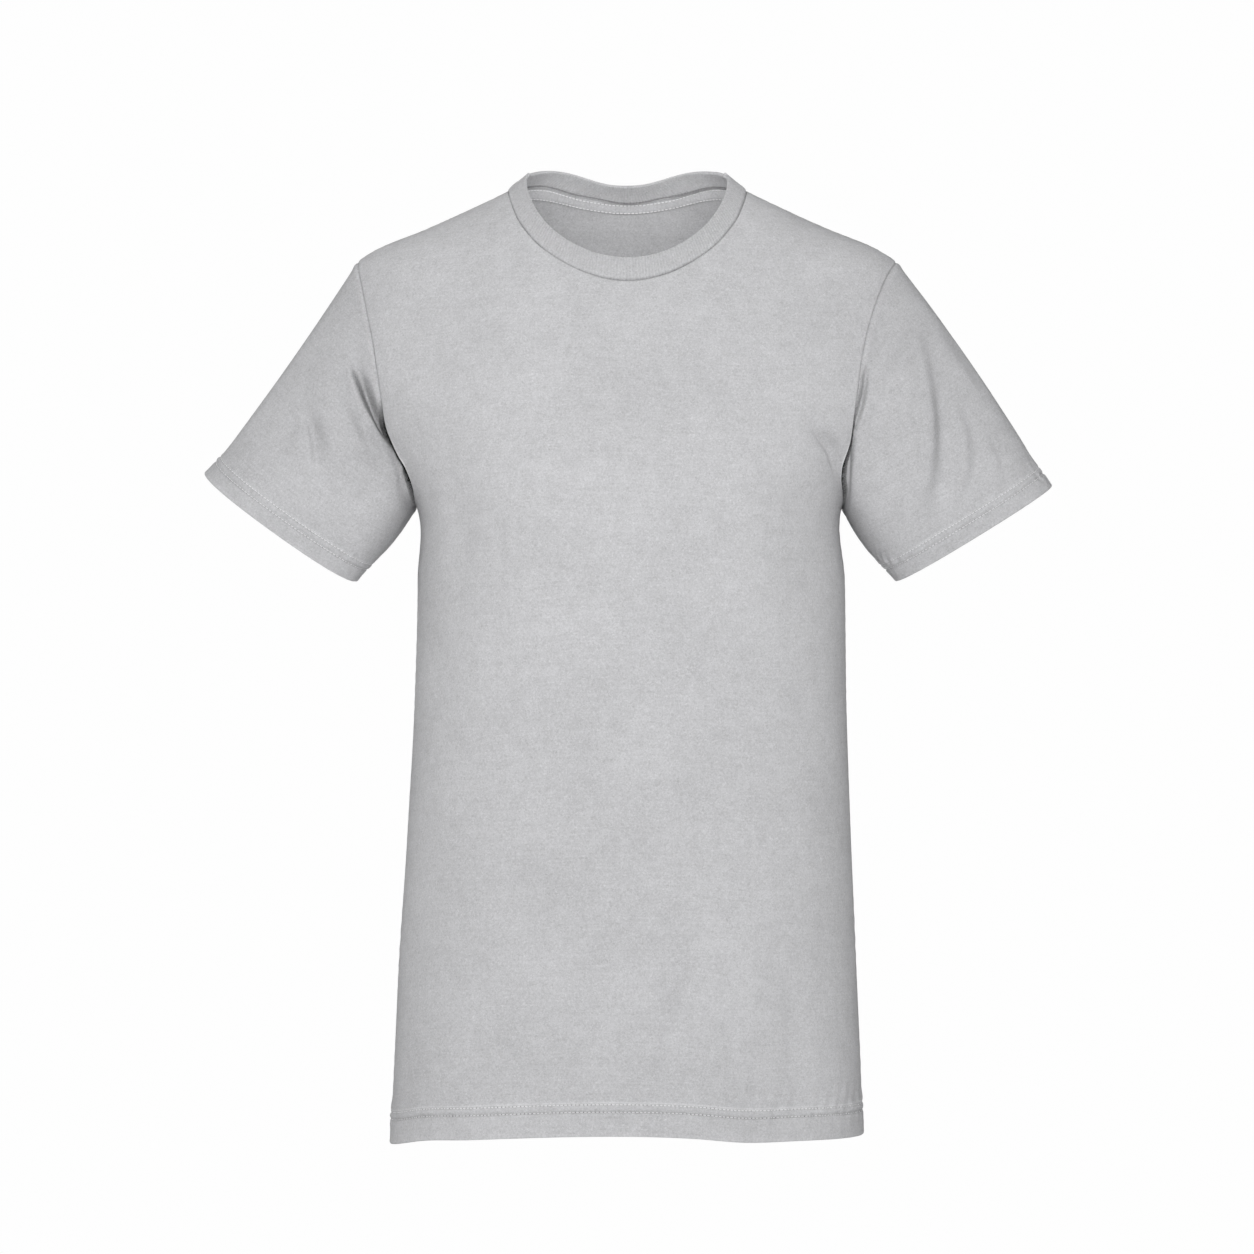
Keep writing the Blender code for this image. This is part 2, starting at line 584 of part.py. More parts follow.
def add_ring(bm, points):
    """Closed ring of edges through the points."""
    ring = bmesh.ops.create_circle(bm, cap_ends=False, radius=1.0, segments=len(points))["verts"]
    for vert, point in zip(ring, points):
        vert.co = point
    return ring


def loft_rings(bm, first, second):
    """Faces between two rings, where one may have several points for each point of the other."""
    few, many = (first, second) if len(first) <= len(second) else (second, first)
    ratio = len(many) // len(few)
    for place, corner in enumerate(few):
        following = few[(place + 1) % len(few)]
        fan = [many[(place * ratio + step) % len(many)] for step in range(ratio + 1)]
        if ratio == 1:
            bm.faces.new((corner, following, fan[1], fan[0]))
            continue
        turn = (ratio + 1) // 2
        for step in range(ratio):
            bm.faces.new((corner if step < turn else following, fan[step + 1], fan[step]))
        bm.faces.new((corner, following, fan[turn]))


def neckband_mesh(neckband):
    """Rib folded double: fine raised wales outside, plain rings at the seam, the fold and inside."""
    def section(count, share, depth, ribbed):
        places = np.arange(count) * NECK_RING_STEPS / count
        seam = straight(neckband["points"] + neckband["shift"], places)
        fold = periodic(neckband["fold"], places)
        through = straight(neckband["through"], places)
        if share > 0:
            through = unit(periodic(neckband["normals"], places))
        points = seam * (1 - share) + fold * share
        points = points + through * (NECKBAND_CROWN * math.sin(math.pi * share) - depth)
        if ribbed:
            points = points + through * (RIB_HEIGHT * (np.arange(count) % 2))[:, None]
        return points

    bm = bmesh.new()
    fine = 2 * RIB_COUNT
    rings = [
        add_ring(bm, section(BAND_RING_STEPS, 0.0, 0.0, False)),
        add_ring(bm, section(fine, RIB_SEAM_START, 0.0, True)),
        add_ring(bm, section(fine, NECKBAND_FOLD_START, 0.0, True)),
        add_ring(bm, section(BAND_RING_STEPS, 1.0, RIB_CLOTH / 2, False)),
        add_ring(bm, section(BAND_RING_STEPS, NECKBAND_FOLD_START, RIB_CLOTH, False)),
        add_ring(bm, section(BAND_RING_STEPS, 0.5, RIB_CLOTH, False)),
        add_ring(bm, section(BAND_RING_STEPS, 0.0, RIB_CLOTH, False)),
    ]
    for first, second in zip(rings, rings[1:] + rings[:1]):
        loft_rings(bm, first, second)
    bmesh.ops.recalc_face_normals(bm, faces=bm.faces)
    return bm


def tape_mesh(back, inner):
    """Flat tape that covers the back neck seam, on the inside of the back panel."""
    neck = slice(SHOULDER_STEPS, COLUMNS - SHOULDER_STEPS + 1)
    upper = inner[neck, ROWS]
    down = unit(inner[neck, ROWS - 1] - upper)
    inward = -unit(back["normals"][neck, ROWS - 1] + grid_normals(inner, closed=False, flip=True)[neck, ROWS])
    reaches = np.array((TAPE_START, TAPE_START + TAPE_WIDTH / 2, TAPE_START + TAPE_WIDTH))
    points = upper[:, None, :] + down[:, None, :] * reaches[:, None]
    points[0] += (points[1] - points[0]) * TAPE_END_SHARE
    points[-1] += (points[-2] - points[-1]) * TAPE_END_SHARE
    near = points + inward[:, None, :] * TAPE_GAP
    return wall_mesh(near + inward[:, None, :] * TAPE_CLOTH, near, closed=False)


# ---- Pieces ---------------------------------------------------------------------------------------

def cloth_material(name, colour):
    material = bpy.data.materials.new(name)
    material.use_nodes = True
    shader = material.node_tree.nodes["Principled BSDF"]
    shader.inputs["Base Color"].default_value = colour
    shader.inputs["Roughness"].default_value = CLOTH_ROUGHNESS
    shader.inputs["Metallic"].default_value = 0.0
    return material


def add_piece(name, bm, colour, collection, holder):
    bmesh.ops.triangulate(bm, faces=bm.faces, quad_method="SHORT_EDGE")
    mesh = bpy.data.meshes.new(name)
    bm.to_mesh(mesh)
    bm.free()
    mesh.shade_smooth()
    mesh.set_sharp_from_angle(angle=SHARP_ANGLE)
    mesh.materials.append(cloth_material(name + "_cloth", colour))
    piece = bpy.data.objects.new(name, mesh)
    piece.parent = holder
    collection.objects.link(piece)


def main():
    for leftover in list(bpy.data.objects):
        bpy.data.objects.remove(leftover, do_unlink=True)
    collection = bpy.data.collections.new("crew_neck_t_shirt")
    bpy.context.scene.collection.children.link(collection)
    holder = bpy.data.objects.new("neck_middle", None)
    collection.objects.link(holder)

    panels = make_panels()
    sleeves = {}
    for row in SLEEVES:
        sleeves[row[0]] = make_sleeve(dict(zip(SLEEVE_COLUMNS, row)), panels)
    neckband = make_neckband(panels)
    join_seams(panels, sleeves, neckband)

    body_thickness = np.full((1, ROWS + 1, 1), CLOTH)
    body_thickness[:, :2] = HEM_CLOTH
    sleeve_thickness = np.full((1, SLEEVE_STEPS + 3, 1), CLOTH)
    sleeve_thickness[:, -2:] = HEM_CLOTH
    for face, panel in panels.items():
        outer, inner = wall_grids(panel, body_thickness)
        add_piece(face, wall_mesh(outer, inner, closed=False), JERSEY_COLOUR, collection, holder)
        if face == "back":
            add_piece("neck_tape", tape_mesh(panel, inner), TAPE_COLOUR, collection, holder)
    for name, sleeve in sleeves.items():
        outer, inner = wall_grids(sleeve, sleeve_thickness)
        add_piece(name, wall_mesh(outer, inner, closed=True), JERSEY_COLOUR, collection, holder)
    add_piece("neckband", neckband_mesh(neckband), RIB_COLOUR, collection, holder)


main()
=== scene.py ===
"""Crew neck t-shirt in washed cotton jersey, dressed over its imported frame.

Metres, +Z up, the chest faces -Y, and the origin lies between the shoulders at the neck. Every piece
of cloth is a thin shell with its hems turned up, its seams rolled in and its stitches laid on it.
"""

import math
from functools import partial

import bmesh
import bpy
import numpy as np
from mathutils import Matrix, Vector


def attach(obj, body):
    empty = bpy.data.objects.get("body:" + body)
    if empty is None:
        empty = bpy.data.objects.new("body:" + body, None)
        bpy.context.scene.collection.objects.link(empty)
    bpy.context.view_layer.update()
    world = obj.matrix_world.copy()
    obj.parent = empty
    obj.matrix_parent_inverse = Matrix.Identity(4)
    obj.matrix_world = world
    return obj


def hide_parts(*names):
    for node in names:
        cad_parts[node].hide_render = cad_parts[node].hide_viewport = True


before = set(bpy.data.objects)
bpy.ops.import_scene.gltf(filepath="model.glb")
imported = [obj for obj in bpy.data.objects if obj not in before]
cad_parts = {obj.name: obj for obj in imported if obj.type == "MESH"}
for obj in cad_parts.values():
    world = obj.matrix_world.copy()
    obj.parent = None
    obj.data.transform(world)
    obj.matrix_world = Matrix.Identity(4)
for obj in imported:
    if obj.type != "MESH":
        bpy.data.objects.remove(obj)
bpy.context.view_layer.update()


# ==== Front and back panels =======================================================================
# The body is two panels of single jersey, cut with the wales running up and down. They are sewn
# together at the sides and shoulders with the edges turned inside. The lower edge of each is turned
# up 25 mm to the inside, where a twin needle holds it.

SIDE_HEM_HEIGHT = -0.728
ARMPIT_HEIGHT = -0.2426
SHOULDER_POINT_HEIGHT = -0.0545
RIGHT_ANGLE = math.pi / 2
CURVE_SAMPLES = 400  # points on a curve that is measured before it is divided
TINY = 1e-12


def table(names, rows, plain=""):
    """Columns of a table by name. Its rows are in millimetres, apart from the plain column."""
    columns = dict(zip(names.split(), np.array(rows, dtype=float).T))
    return {name: values if name == plain else values / 1000 for name, values in columns.items()}


# Level sections of the body's form. Roundness is the power of each oval.
FORM = table("height middle_x half_width front_depth back_depth side_y roundness", (
    (-740, 0, 182.2, 124, 122, 0, 2.35),
    (-660, 0.3, 178.8, 124.5, 118, 1, 2.38),
    (-600, 0.4, 176.2, 125.5, 115, 2, 2.4),
    (-500, 1.6, 170.8, 128, 110, 3, 2.42),
    (-400, 2.6, 166.3, 132, 108, 4, 2.45),
    (-300, 3.2, 164.4, 139.5, 110, 6, 2.45),
    (-242.6, 1.8, 164.2, 141.5, 111.5, 8, 2.42),
    (-200, 0.4, 190, 136, 112.5, 10, 2.36),
    (-150, 0, 213, 121, 109.5, 11, 2.26),
    (-110, 0, 221, 104, 103, 12, 2.16),
    (-80, 0, 218.5, 89.5, 95.5, 12, 2.08),
    (-54.5, 0, 207.8, 77.6, 87.2, 12, 2.03),
    (-45.1, 0, 193.5, 73.5, 83.8, 12, 2),
    (-29.7, 0, 156.6, 66.2, 75.5, 12, 2),
    (-14.2, 0, 121.9, 58.8, 67.2, 12, 2),
    (0, 0, 92.5, 51, 58, 12, 2),
    (7, 0, 82, 62, 40.8, 26, 2),
    (14, 0, 71, 73, 24, 40, 2),
), plain="roundness")

# Lower edge of each panel, as seen from the front.
HEM_LINE = table("x front back", (
    (-182, -731.8, -731.8),
    (-160, -725.8, -733.8),
    (-120, -722.4, -734.8),
    (-60, -719, -735),
    (0, -718, -734.5),
    (50, -719.8, -733.8),
    (90, -723.4, -732.5),
    (135, -723.4, -729.5),
    (182, -724.1, -724.1),
))

# Armhole seams: how far each is from the middle at a height.
ARMHOLE = table("height right left", (
    (-242.6, 162.4, 166),
    (-229.8, 163.4, 164.8),
    (-217.5, 167.2, 165.2),
    (-204.4, 174.5, 167.2),
    (-189, 181.8, 170.2),
    (-160.5, 187.6, 175),
    (-121.2, 194.2, 181.2),
    (-101.1, 198.4, 186.6),
    (-80.3, 202.8, 194),
    (-65.7, 206, 200.8),
    (-54.5, 207.8, 207.8),
))

# Neck seam, from the shoulder seam in to the middle.
NECK = {
    "front": table("x height", (
        (92.5, 0),
        (89.3, -11),
        (81.5, -27.5),
        (63, -48.5),
        (32.5, -66.4),
        (0, -72.8),
    )),
    "back": table("x height", (
        (92.5, 0),
        (85, 4.2),
        (73.5, 6.6),
        (59, 5.8),
        (33, 0),
        (0, -3.4),
    )),
}


def smooth(knots, values, at):
    """Value at each place on a smooth curve through the knots."""
    slopes = np.gradient(values, knots)
    at = np.clip(at, knots[0], knots[-1])
    low = np.clip(np.searchsorted(knots, at) - 1, 0, len(knots) - 2)
    span = knots[low + 1] - knots[low]
    s = (at - knots[low]) / span
    near = (1 + 2 * s) * (1 - s) ** 2 * values[low] + s * (1 - s) ** 2 * span * slopes[low]
    far = s * s * (3 - 2 * s) * values[low + 1] + s * s * (s - 1) * span * slopes[low + 1]
    return near + far


def unit(vectors):
    return vectors / np.maximum(np.linalg.norm(vectors, axis=-1, keepdims=True), TINY)


def bell(off, width):
    """1 at the middle, falling away to each side."""
    return np.exp(-(off / width) ** 2)


def signed_power(value, power):
    return np.sign(value) * np.abs(value) ** power


def travelled(points, axis=0):
    """Distance from the first point to each point, along a line or along one way of a grid."""
    steps = np.linalg.norm(np.diff(points, axis=axis), axis=-1)
    first = np.zeros_like(np.take(steps, [0], axis=axis))
    return np.concatenate((first, np.cumsum(steps, axis=axis)), axis=axis)


def between(at, way, rows):
    """Points or directions at distances along a line, between the line's own."""
    return np.stack([np.interp(at, way, rows[:, axis]) for axis in range(3)], axis=-1)


def along_line(points, distances):
    return between(distances, travelled(points), points)


def form_value(name, height):
    return smooth(FORM["height"], FORM[name], height)


def form_point(face, angle, height):
    """Point of the body's form. The angle runs from the middle of a face to +-90 at a side."""
    power = 2.0 / form_value("roundness", height)
    outward = -1.0 if face == "front" else 1.0
    across = signed_power(np.sin(angle), power)
    out = np.abs(np.cos(angle)) ** power
    x = form_value("middle_x", height) + form_value("half_width", height) * across
    y = form_value("side_y", height) + outward * form_value(face + "_depth", height) * out
    return np.stack(np.broadcast_arrays(x, y, height), axis=-1)


def angle_at(x, height):
    """Angle on the form's section at a place seen from the front."""
    off = x - form_value("middle_x", height)
    share = np.clip(np.abs(off) / form_value("half_width", height), 0.0, 1.0)
    return np.sign(off) * np.arcsin(share ** (form_value("roundness", height) / 2.0))


def armhole_edge(face, side):
    """Front view x and height along one panel's armhole, from the armpit up, at even distances."""
    swing = np.linspace(0.0, math.pi, CURVE_SAMPLES)
    heights = ARMPIT_HEIGHT + (SHOULDER_POINT_HEIGHT - ARMPIT_HEIGHT) * (1 - np.cos(swing)) / 2
    x = side * smooth(ARMHOLE["height"], ARMHOLE["right" if side < 0 else "left"], heights)
    way = travelled(form_point(face, angle_at(x, heights), heights))
    even = np.linspace(0.0, way[-1], CURVE_SAMPLES)
    return np.interp(even, way, x), np.interp(even, way, heights)


NECK_SHARE = 8 / 13  # share of a panel's half top edge that is neck seam


def top_edge(face, places):
    """Front view x and height of a panel's top edge at places from -1, over the neck, to 1."""
    samples = np.linspace(0.0, 1.0, CURVE_SAMPLES)
    ridge_heights = SHOULDER_POINT_HEIGHT * (1 - samples)
    ridge = form_point(face, np.full(CURVE_SAMPLES, RIGHT_ANGLE), ridge_heights)
    seam_x, seam_height = NECK[face]["x"], NECK[face]["height"]
    knots = np.arange(len(seam_x) + 1) / (len(seam_x) - 1)
    neck_x = smooth(knots, np.append(seam_x, -seam_x[-2]), samples)
    neck_heights = smooth(knots, np.append(seam_height, seam_height[-2]), samples)
    neck = form_point(face, angle_at(neck_x, neck_heights), neck_heights)
    shoulder_share = (1 - np.abs(places)) / (1 - NECK_SHARE)
    neck_share = 1 - np.abs(places) / NECK_SHARE
    on_shoulder = along_line(ridge, np.clip(shoulder_share, 0, 1) * travelled(ridge)[-1])
    on_neck = along_line(neck, np.clip(neck_share, 0, 1) * travelled(neck)[-1])
    chosen = np.where((np.abs(places) > NECK_SHARE)[:, None], on_shoulder, on_neck)
    return np.where(places < 0, -1, 1) * np.abs(chosen[:, 0]), chosen[:, 2]


NECK_COLUMNS_HALF = 54  # mesh columns over half the neck seam
SHOULDER_COLUMNS = 30
BODY_ROWS = 146
ARMHOLE_ROWS = 62
EDGE_STEPS = np.array((0.0, 0.0006, 0.0013, 0.0023, 0.0037))  # mesh lines beside a seam
FADE_POWER = 1.5  # how fast the armhole's curve fades towards the middle
BODY_HEM = {
    "depth": 0.025,
    "rows": (
        0.0, 0.0008, 0.002, 0.004, 0.0065, 0.009, 0.0115, 0.014, 0.0160, 0.0170,
        0.0176, 0.0182, 0.0198, 0.0216, 0.0226, 0.0232, 0.0238, 0.0247, 0.0256, 0.0272,
    ),
    "turned": (0, 2, 4, 6, 8, 10, 12, 15, 17),  # the rows that the turned-up layer repeats
    "stitches": (0.0176, 0.0232),  # the two rows of the twin needle
    "gathers": 0.0009,  # how high the gathers along it stand
    "painted_lines": 1.0,  # how strongly the painted shade and highlight of its stitch lines show
}


def column_places(half_length):
    """Places of the mesh columns from -1 to 1, closer together beside the side seams."""
    beside = 1 - EDGE_STEPS / half_length
    shoulder = np.linspace(beside[-1], NECK_SHARE, SHOULDER_COLUMNS + 1)[1:]
    neck = np.linspace(NECK_SHARE, 0.0, NECK_COLUMNS_HALF + 1)[1:]
    half = np.concatenate((beside, shoulder, neck))
    return np.concatenate((-half, half[-2::-1]))


def row_distances(length, rows):
    """Distances along a mesh column, closer together beside the seam at its end."""
    beside = length - EDGE_STEPS[::-1]
    return np.concatenate((np.linspace(0.0, beside[0], rows + 1)[:-1], beside))


def panel_points(face):
    """Points of a panel on the plain form: columns across, rows from the lower edge upwards."""
    samples = np.linspace(-RIGHT_ANGLE, RIGHT_ANGLE, CURVE_SAMPLES)
    way = travelled(form_point(face, samples, np.full(CURVE_SAMPLES, ARMPIT_HEIGHT)))
    places = column_places(way[-1] / 2)
    angles = np.interp((places + 1) / 2 * way[-1], way, samples)
    low_x = form_point(face, angles, np.full(angles.shape, SIDE_HEM_HEIGHT))[:, 0]
    low = smooth(HEM_LINE["x"], HEM_LINE[face], low_x)[:, None] + np.array(BODY_HEM["rows"])
    high = low[:, -1:] + (ARMPIT_HEIGHT - low[:, -1:]) * np.linspace(0.0, 1.0, BODY_ROWS + 1)[1:]
    lower = form_point(face, angles[:, None], np.concatenate((low, high), axis=1))

    top_x, top_heights = top_edge(face, places)
    armpit_x = lower[:, -1, 0]
    shares = np.linspace(0.0, 1.0, CURVE_SAMPLES)
    from_armpit = (1 - shares) * ARMPIT_HEIGHT
    armholes = [(side, end, *armhole_edge(face, side)) for side, end in ((-1, 0), (1, -1))]
    upper = []
    for place, across in enumerate(places):
        x = (1 - shares) * armpit_x[place] + shares * top_x[place]
        heights = from_armpit + shares * top_heights[place]
        for side, end, edge_x, edge_heights in armholes:
            fade = max(0.0, side * across) ** FADE_POWER
            x = x + fade * (edge_x - (1 - shares) * armpit_x[end] - shares * top_x[end])
            heights = heights + fade * (edge_heights - (from_armpit + shares * SHOULDER_POINT_HEIGHT))
        line = form_point(face, angle_at(x, heights), heights)
        upper.append(along_line(line, row_distances(travelled(line)[-1], ARMHOLE_ROWS)[1:]))
    return np.concatenate((lower, np.array(upper)), axis=1)


# Folds in the hang of the cloth, in millimetres as seen from the front: x and height of one end and
# of the other, the bow to one side, the half width and the depth, and a second half width where a
# tuck's wall is steeper on the side of low x. A negative depth is a ridge.
BODY_FOLDS = {
    "front": (
        (143, -183, 160, -222, 5, 9, 5.5),
        (148, -172, 166, -205, 4, 8, -2.5),
        (-150, -205, -172, -192, -2, 9, 3.5),
        (56, -560, 24, -668, -2, 19, 3.5),
        (126, -600, 122, -700, -2, 22, 4),
        (-100, -560, -118, -690, -4, 24, 2.5),
        (-169.5, -203, -166.5, -213, 0, 3, 2.2),
        (144, -188, 161, -222, 4, 6.5, 4, 2.6),
        (-128, -222, -125, -306, 2, 10, 2.2),
        (-142, -236, -141, -300, 1, 8, -1.2),
        (118, -262, 150, -246, 3, 10, 1.3),
        (-135, -340, -108, -480, -6, 20, 1.2),
        (134, -330, 112, -500, 6, 20, 1.3),
        (54.5, -580, 40, -628, 1.5, 12, 2.4, 6.5),
        (42, -606, 26, -668, 1, 10, 2.8, 6),
        (64, -590, 46, -660, 1, 9, -1.6),
        (-20, -600, -46, -700, -4, 16, 1.1),
        (80, -640, 88, -700, -2, 7, 1.8),
        (127.5, -610, 130, -700, -2, 9, 2.2, 5),
        (60, -694, 110, -690, 2, 5, 0.9),
        (-164, -682, -74, -680, -3, 4, 0.8),
        (94, -694, 95.5, -717, 0.5, 4, 1.4),
        (119, -690, 112, -712, 1, 4.5, 1.6),
        (131, -686, 126, -710, 0.6, 4, 1.3),
        (143, -690, 139.5, -715, 0.4, 4, 1.2),
        (22, -698, 11, -715, -0.6, 4.5, 1.3),
        (-61, -696, -59.5, -713, 0.2, 4, 0.9),
        (-142, -702, -134, -717, 0.4, 4.5, 1.1),
        (150, -440, 156, -640, 3, 12, 1.4),
        (-156, -420, -168, -640, 3, 12, 1.2),
    ),
    "back": (
        (120, -170, 158, -240, -6, 14, 4.5),
        (-118, -180, -158, -250, 5, 13, 4),
        (58, -420, 82, -600, -6, 22, 4),
        (-50, -470, -76, -670, 5, 24, 4),
        (10, -560, 22, -700, -3, 22, 3),
        (96, -262, 150, -246, -4, 12, 1.8),
        (-94, -270, -148, -252, 4, 12, 1.8),
        (-120, -110, -60, -140, -4, 16, 1.4),
        (112, -104, 54, -136, 4, 16, 1.4),
        (118, -380, 126, -560, -5, 18, 2.4),
        (-112, -400, -128, -580, 5, 18, 2.4),
        (-18, -300, -24, -480, -4, 24, 1.8),
        (140, -180, 160, -236, -3, 5, 2.5),
        (-136, -186, -158, -240, 3, 5, 2.2),
    ),
}
FOLD_END = 0.08  # how blunt a fold's ends are
BODY_RIPPLES = (9, 0.045, 0.16, 0.0006)  # count, shortest, longest and height of the ripples
RIPPLE_SEED = 5
PUCKER_MEAN = 0.55  # gathers stand about this share of their height, give or take
PUCKER_SWING = 0.45
PUCKER_WANDER = 2.2  # and their turns wander by this angle


def fold_depth(folds, x, z):
    """How deep the folds press the cloth in at places seen from the front."""
    total = np.zeros(np.shape(x))
    for row in folds:
        x0, z0, x1, z1, bow, half_width, depth, *wall = np.array(row) / 1000
        run = np.array((x1 - x0, z1 - z0))
        length = np.linalg.norm(run)
        run = run / length
        along = (x - x0) * run[0] + (z - z0) * run[1]
        share = np.clip(along / length, 0.0, 1.0)
        off = (z - z0) * run[0] - (x - x0) * run[1] - bow * np.sin(math.pi * share)
        width = np.where(off < 0, wall[0] if wall else half_width, half_width)
        near = bell(off, width) * bell(along - share * length, half_width)
        total += depth * near * np.sqrt(np.sin(math.pi * (FOLD_END + (1 - 2 * FOLD_END) * share)))
    return total


def waves(u, v, seed, count, shortest, longest, height):
    """Gentle unevenness from a few crossing waves, the same on every run."""
    rng = np.random.default_rng(seed)
    total = np.zeros(np.shape(u))
    for _ in range(count):
        length = rng.uniform(shortest, longest)
        heading = rng.uniform(0.0, math.pi)
        phase = rng.uniform(0.0, 2 * math.pi)
        total += np.sin(2 * math.pi * (u * math.cos(heading) + v * math.sin(heading)) / length + phase)
    return total * height / math.sqrt(count)


def puckers(along, off, seed, pitch, reach, height):
    """Small gathers beside a line of sewing, uneven in pitch and height."""
    level = np.zeros_like(along)
    wander = waves(along, level, seed, count=5, shortest=3 * pitch, longest=12 * pitch, height=1.0)
    swing = waves(along, level, seed + 1, count=4, shortest=4 * pitch, longest=14 * pitch, height=1.0)
    ripple = np.sin(2 * math.pi * along / pitch + PUCKER_WANDER * wander)
    strength = np.clip(PUCKER_MEAN + PUCKER_SWING * swing, 0.0, None)
    return height * strength * ripple * bell(off, reach)


def grid_normals(points, flip):
    normals = unit(np.cross(np.gradient(points, axis=0), np.gradient(points, axis=1)))
    return -normals if flip else normals


# Relief of the seams and the hem.
SEAM_SINK = 0.0009  # how deep a seam lies
SEAM_ROLL = 0.0011  # how far to each side of it the cloth rolls in
SEAM_RIDGE = 0.0004  # the turned edges inside lift one side of a seam
SEAM_RIDGE_PLACE = 0.0038
SEAM_RIDGE_WIDTH = 0.0026
TOP_GATHERS = (0.0080, 0.010, 0.00028)  # pitch, reach and height beside a top seam
SIDE_GATHERS = (0.0110, 0.009)  # pitch and reach beside a side seam
BODY_SIDE_GATHERS = 0.0002  # and their height on the body
STITCH_GATHERS = (0.0085, 0.008)  # pitch and reach round a hem's stitches
HEM_END_GATHERS = (0.013, 0.014)  # and above the hem
HEM_END_SHARE = 0.75
HEM_TWIST = 0.35  # slant of the gathers in a hem
HEM_STAND = 0.0007  # the doubled hem stands proud of the single cloth
HEM_END_BLUR = 0.0005
STITCH_SINK = 0.0010  # how far a row of stitches pulls the cloth in
STITCH_PULL = 0.0011
PUCKER_SEED = 11


def seam_relief(off, ridge):
    """Inward depth beside a seam: rolled in at the seam, lifted where the turned edge lies under."""
    return SEAM_SINK * bell(off, SEAM_ROLL) - ridge * bell(off - SEAM_RIDGE_PLACE, SEAM_RIDGE_WIDTH)


def hem_relief(u, v, hem, seed):
    """Inward depth of a turned hem: it stands proud, and its stitches pull it in and gather it."""
    total = -HEM_STAND * (1 - np.tanh((v - hem["depth"]) / (2 * HEM_END_BLUR))) / 2
    for row in hem["stitches"]:
        total = total + STITCH_SINK * bell(v - row, STITCH_PULL)
    middle = sum(hem["stitches"]) / 2
    total = total + puckers(u + HEM_TWIST * v, v - middle, seed, *STITCH_GATHERS, hem["gathers"])
    end_gathers = HEM_END_SHARE * hem["gathers"]
    return total + puckers(u - HEM_TWIST * v, v - hem["depth"], seed + 4, *HEM_END_GATHERS, end_gathers)


def cloth_relief(u, v, side_off, top_off, ridges, side_gathers, hem, seed):
    """Inward depth from the hem, from the seams and from the gathers beside them."""
    fixed = (1 - bell(top_off, SEAM_ROLL)) * (1 - bell(side_off, SEAM_ROLL))
    gathered = puckers(u, top_off, seed + 20, *TOP_GATHERS)
    gathered = gathered + puckers(v, side_off, seed + 30, *SIDE_GATHERS, side_gathers)
    gathered = gathered + hem_relief(u, v, hem, seed)
    return seam_relief(side_off, ridges[0]) + seam_relief(top_off, ridges[1]) + gathered * fixed


def lay_flat(points):
    """Flat place of each grid point in the cut cloth, in metres: across from the middle, and up."""
    across = travelled(points)
    middle = len(points) // 2
    return across - across[middle:middle + 1], travelled(points, axis=1)


def seam_distances(points):
    """How far each point lies from the nearer side seam, and from the seam along the top."""
    from_sides = np.minimum(travelled(points), travelled(points[::-1])[::-1])
    return from_sides, travelled(points[:, ::-1], axis=1)[:, ::-1]


SECTION_STEPS = 25
KNIT_TOP = 0.02  # height above all of the cloth


def level_places(face, points, u, v):
    """Flat places for the knit: above the armpits the courses run level, across the bent mesh rows."""
    high = points[:, ARMPIT_ROW:]
    angles = angle_at(high[..., 0], high[..., 2])
    steps = np.linspace(0.0, 1.0, SECTION_STEPS)
    section = form_point(face, angles[..., None] * steps, high[..., 2:] * np.ones(SECTION_STEPS))
    across = np.sign(angles) * np.linalg.norm(np.diff(section, axis=2), axis=-1).sum(axis=-1)
    heights = np.linspace(ARMPIT_HEIGHT, KNIT_TOP, CURVE_SAMPLES)
    climb = travelled(form_point(face, np.zeros(CURVE_SAMPLES), heights))
    start = np.interp(across, u[:, ARMPIT_ROW], v[:, ARMPIT_ROW])
    flat_u, flat_v = u.copy(), v.copy()
    flat_u[:, ARMPIT_ROW:] = across
    flat_v[:, ARMPIT_ROW:] = start + np.interp(high[..., 2], heights, climb)
    return flat_u, flat_v


JERSEY_THICKNESS = 0.0008
LAYER_GAP = 0.0002  # space between the cloth and its turned-up hem
LIP_DEPTHS = np.array((0.0008, 0.0018, 0.0030))  # how far a seam's edges turn in
HEM_LIP_SHARE = 0.25  # and how much of that they turn in at the hem
FOLD_TURNS = (157.5, 112.5, 67.5, 22.5)  # degrees round the folded lower edge


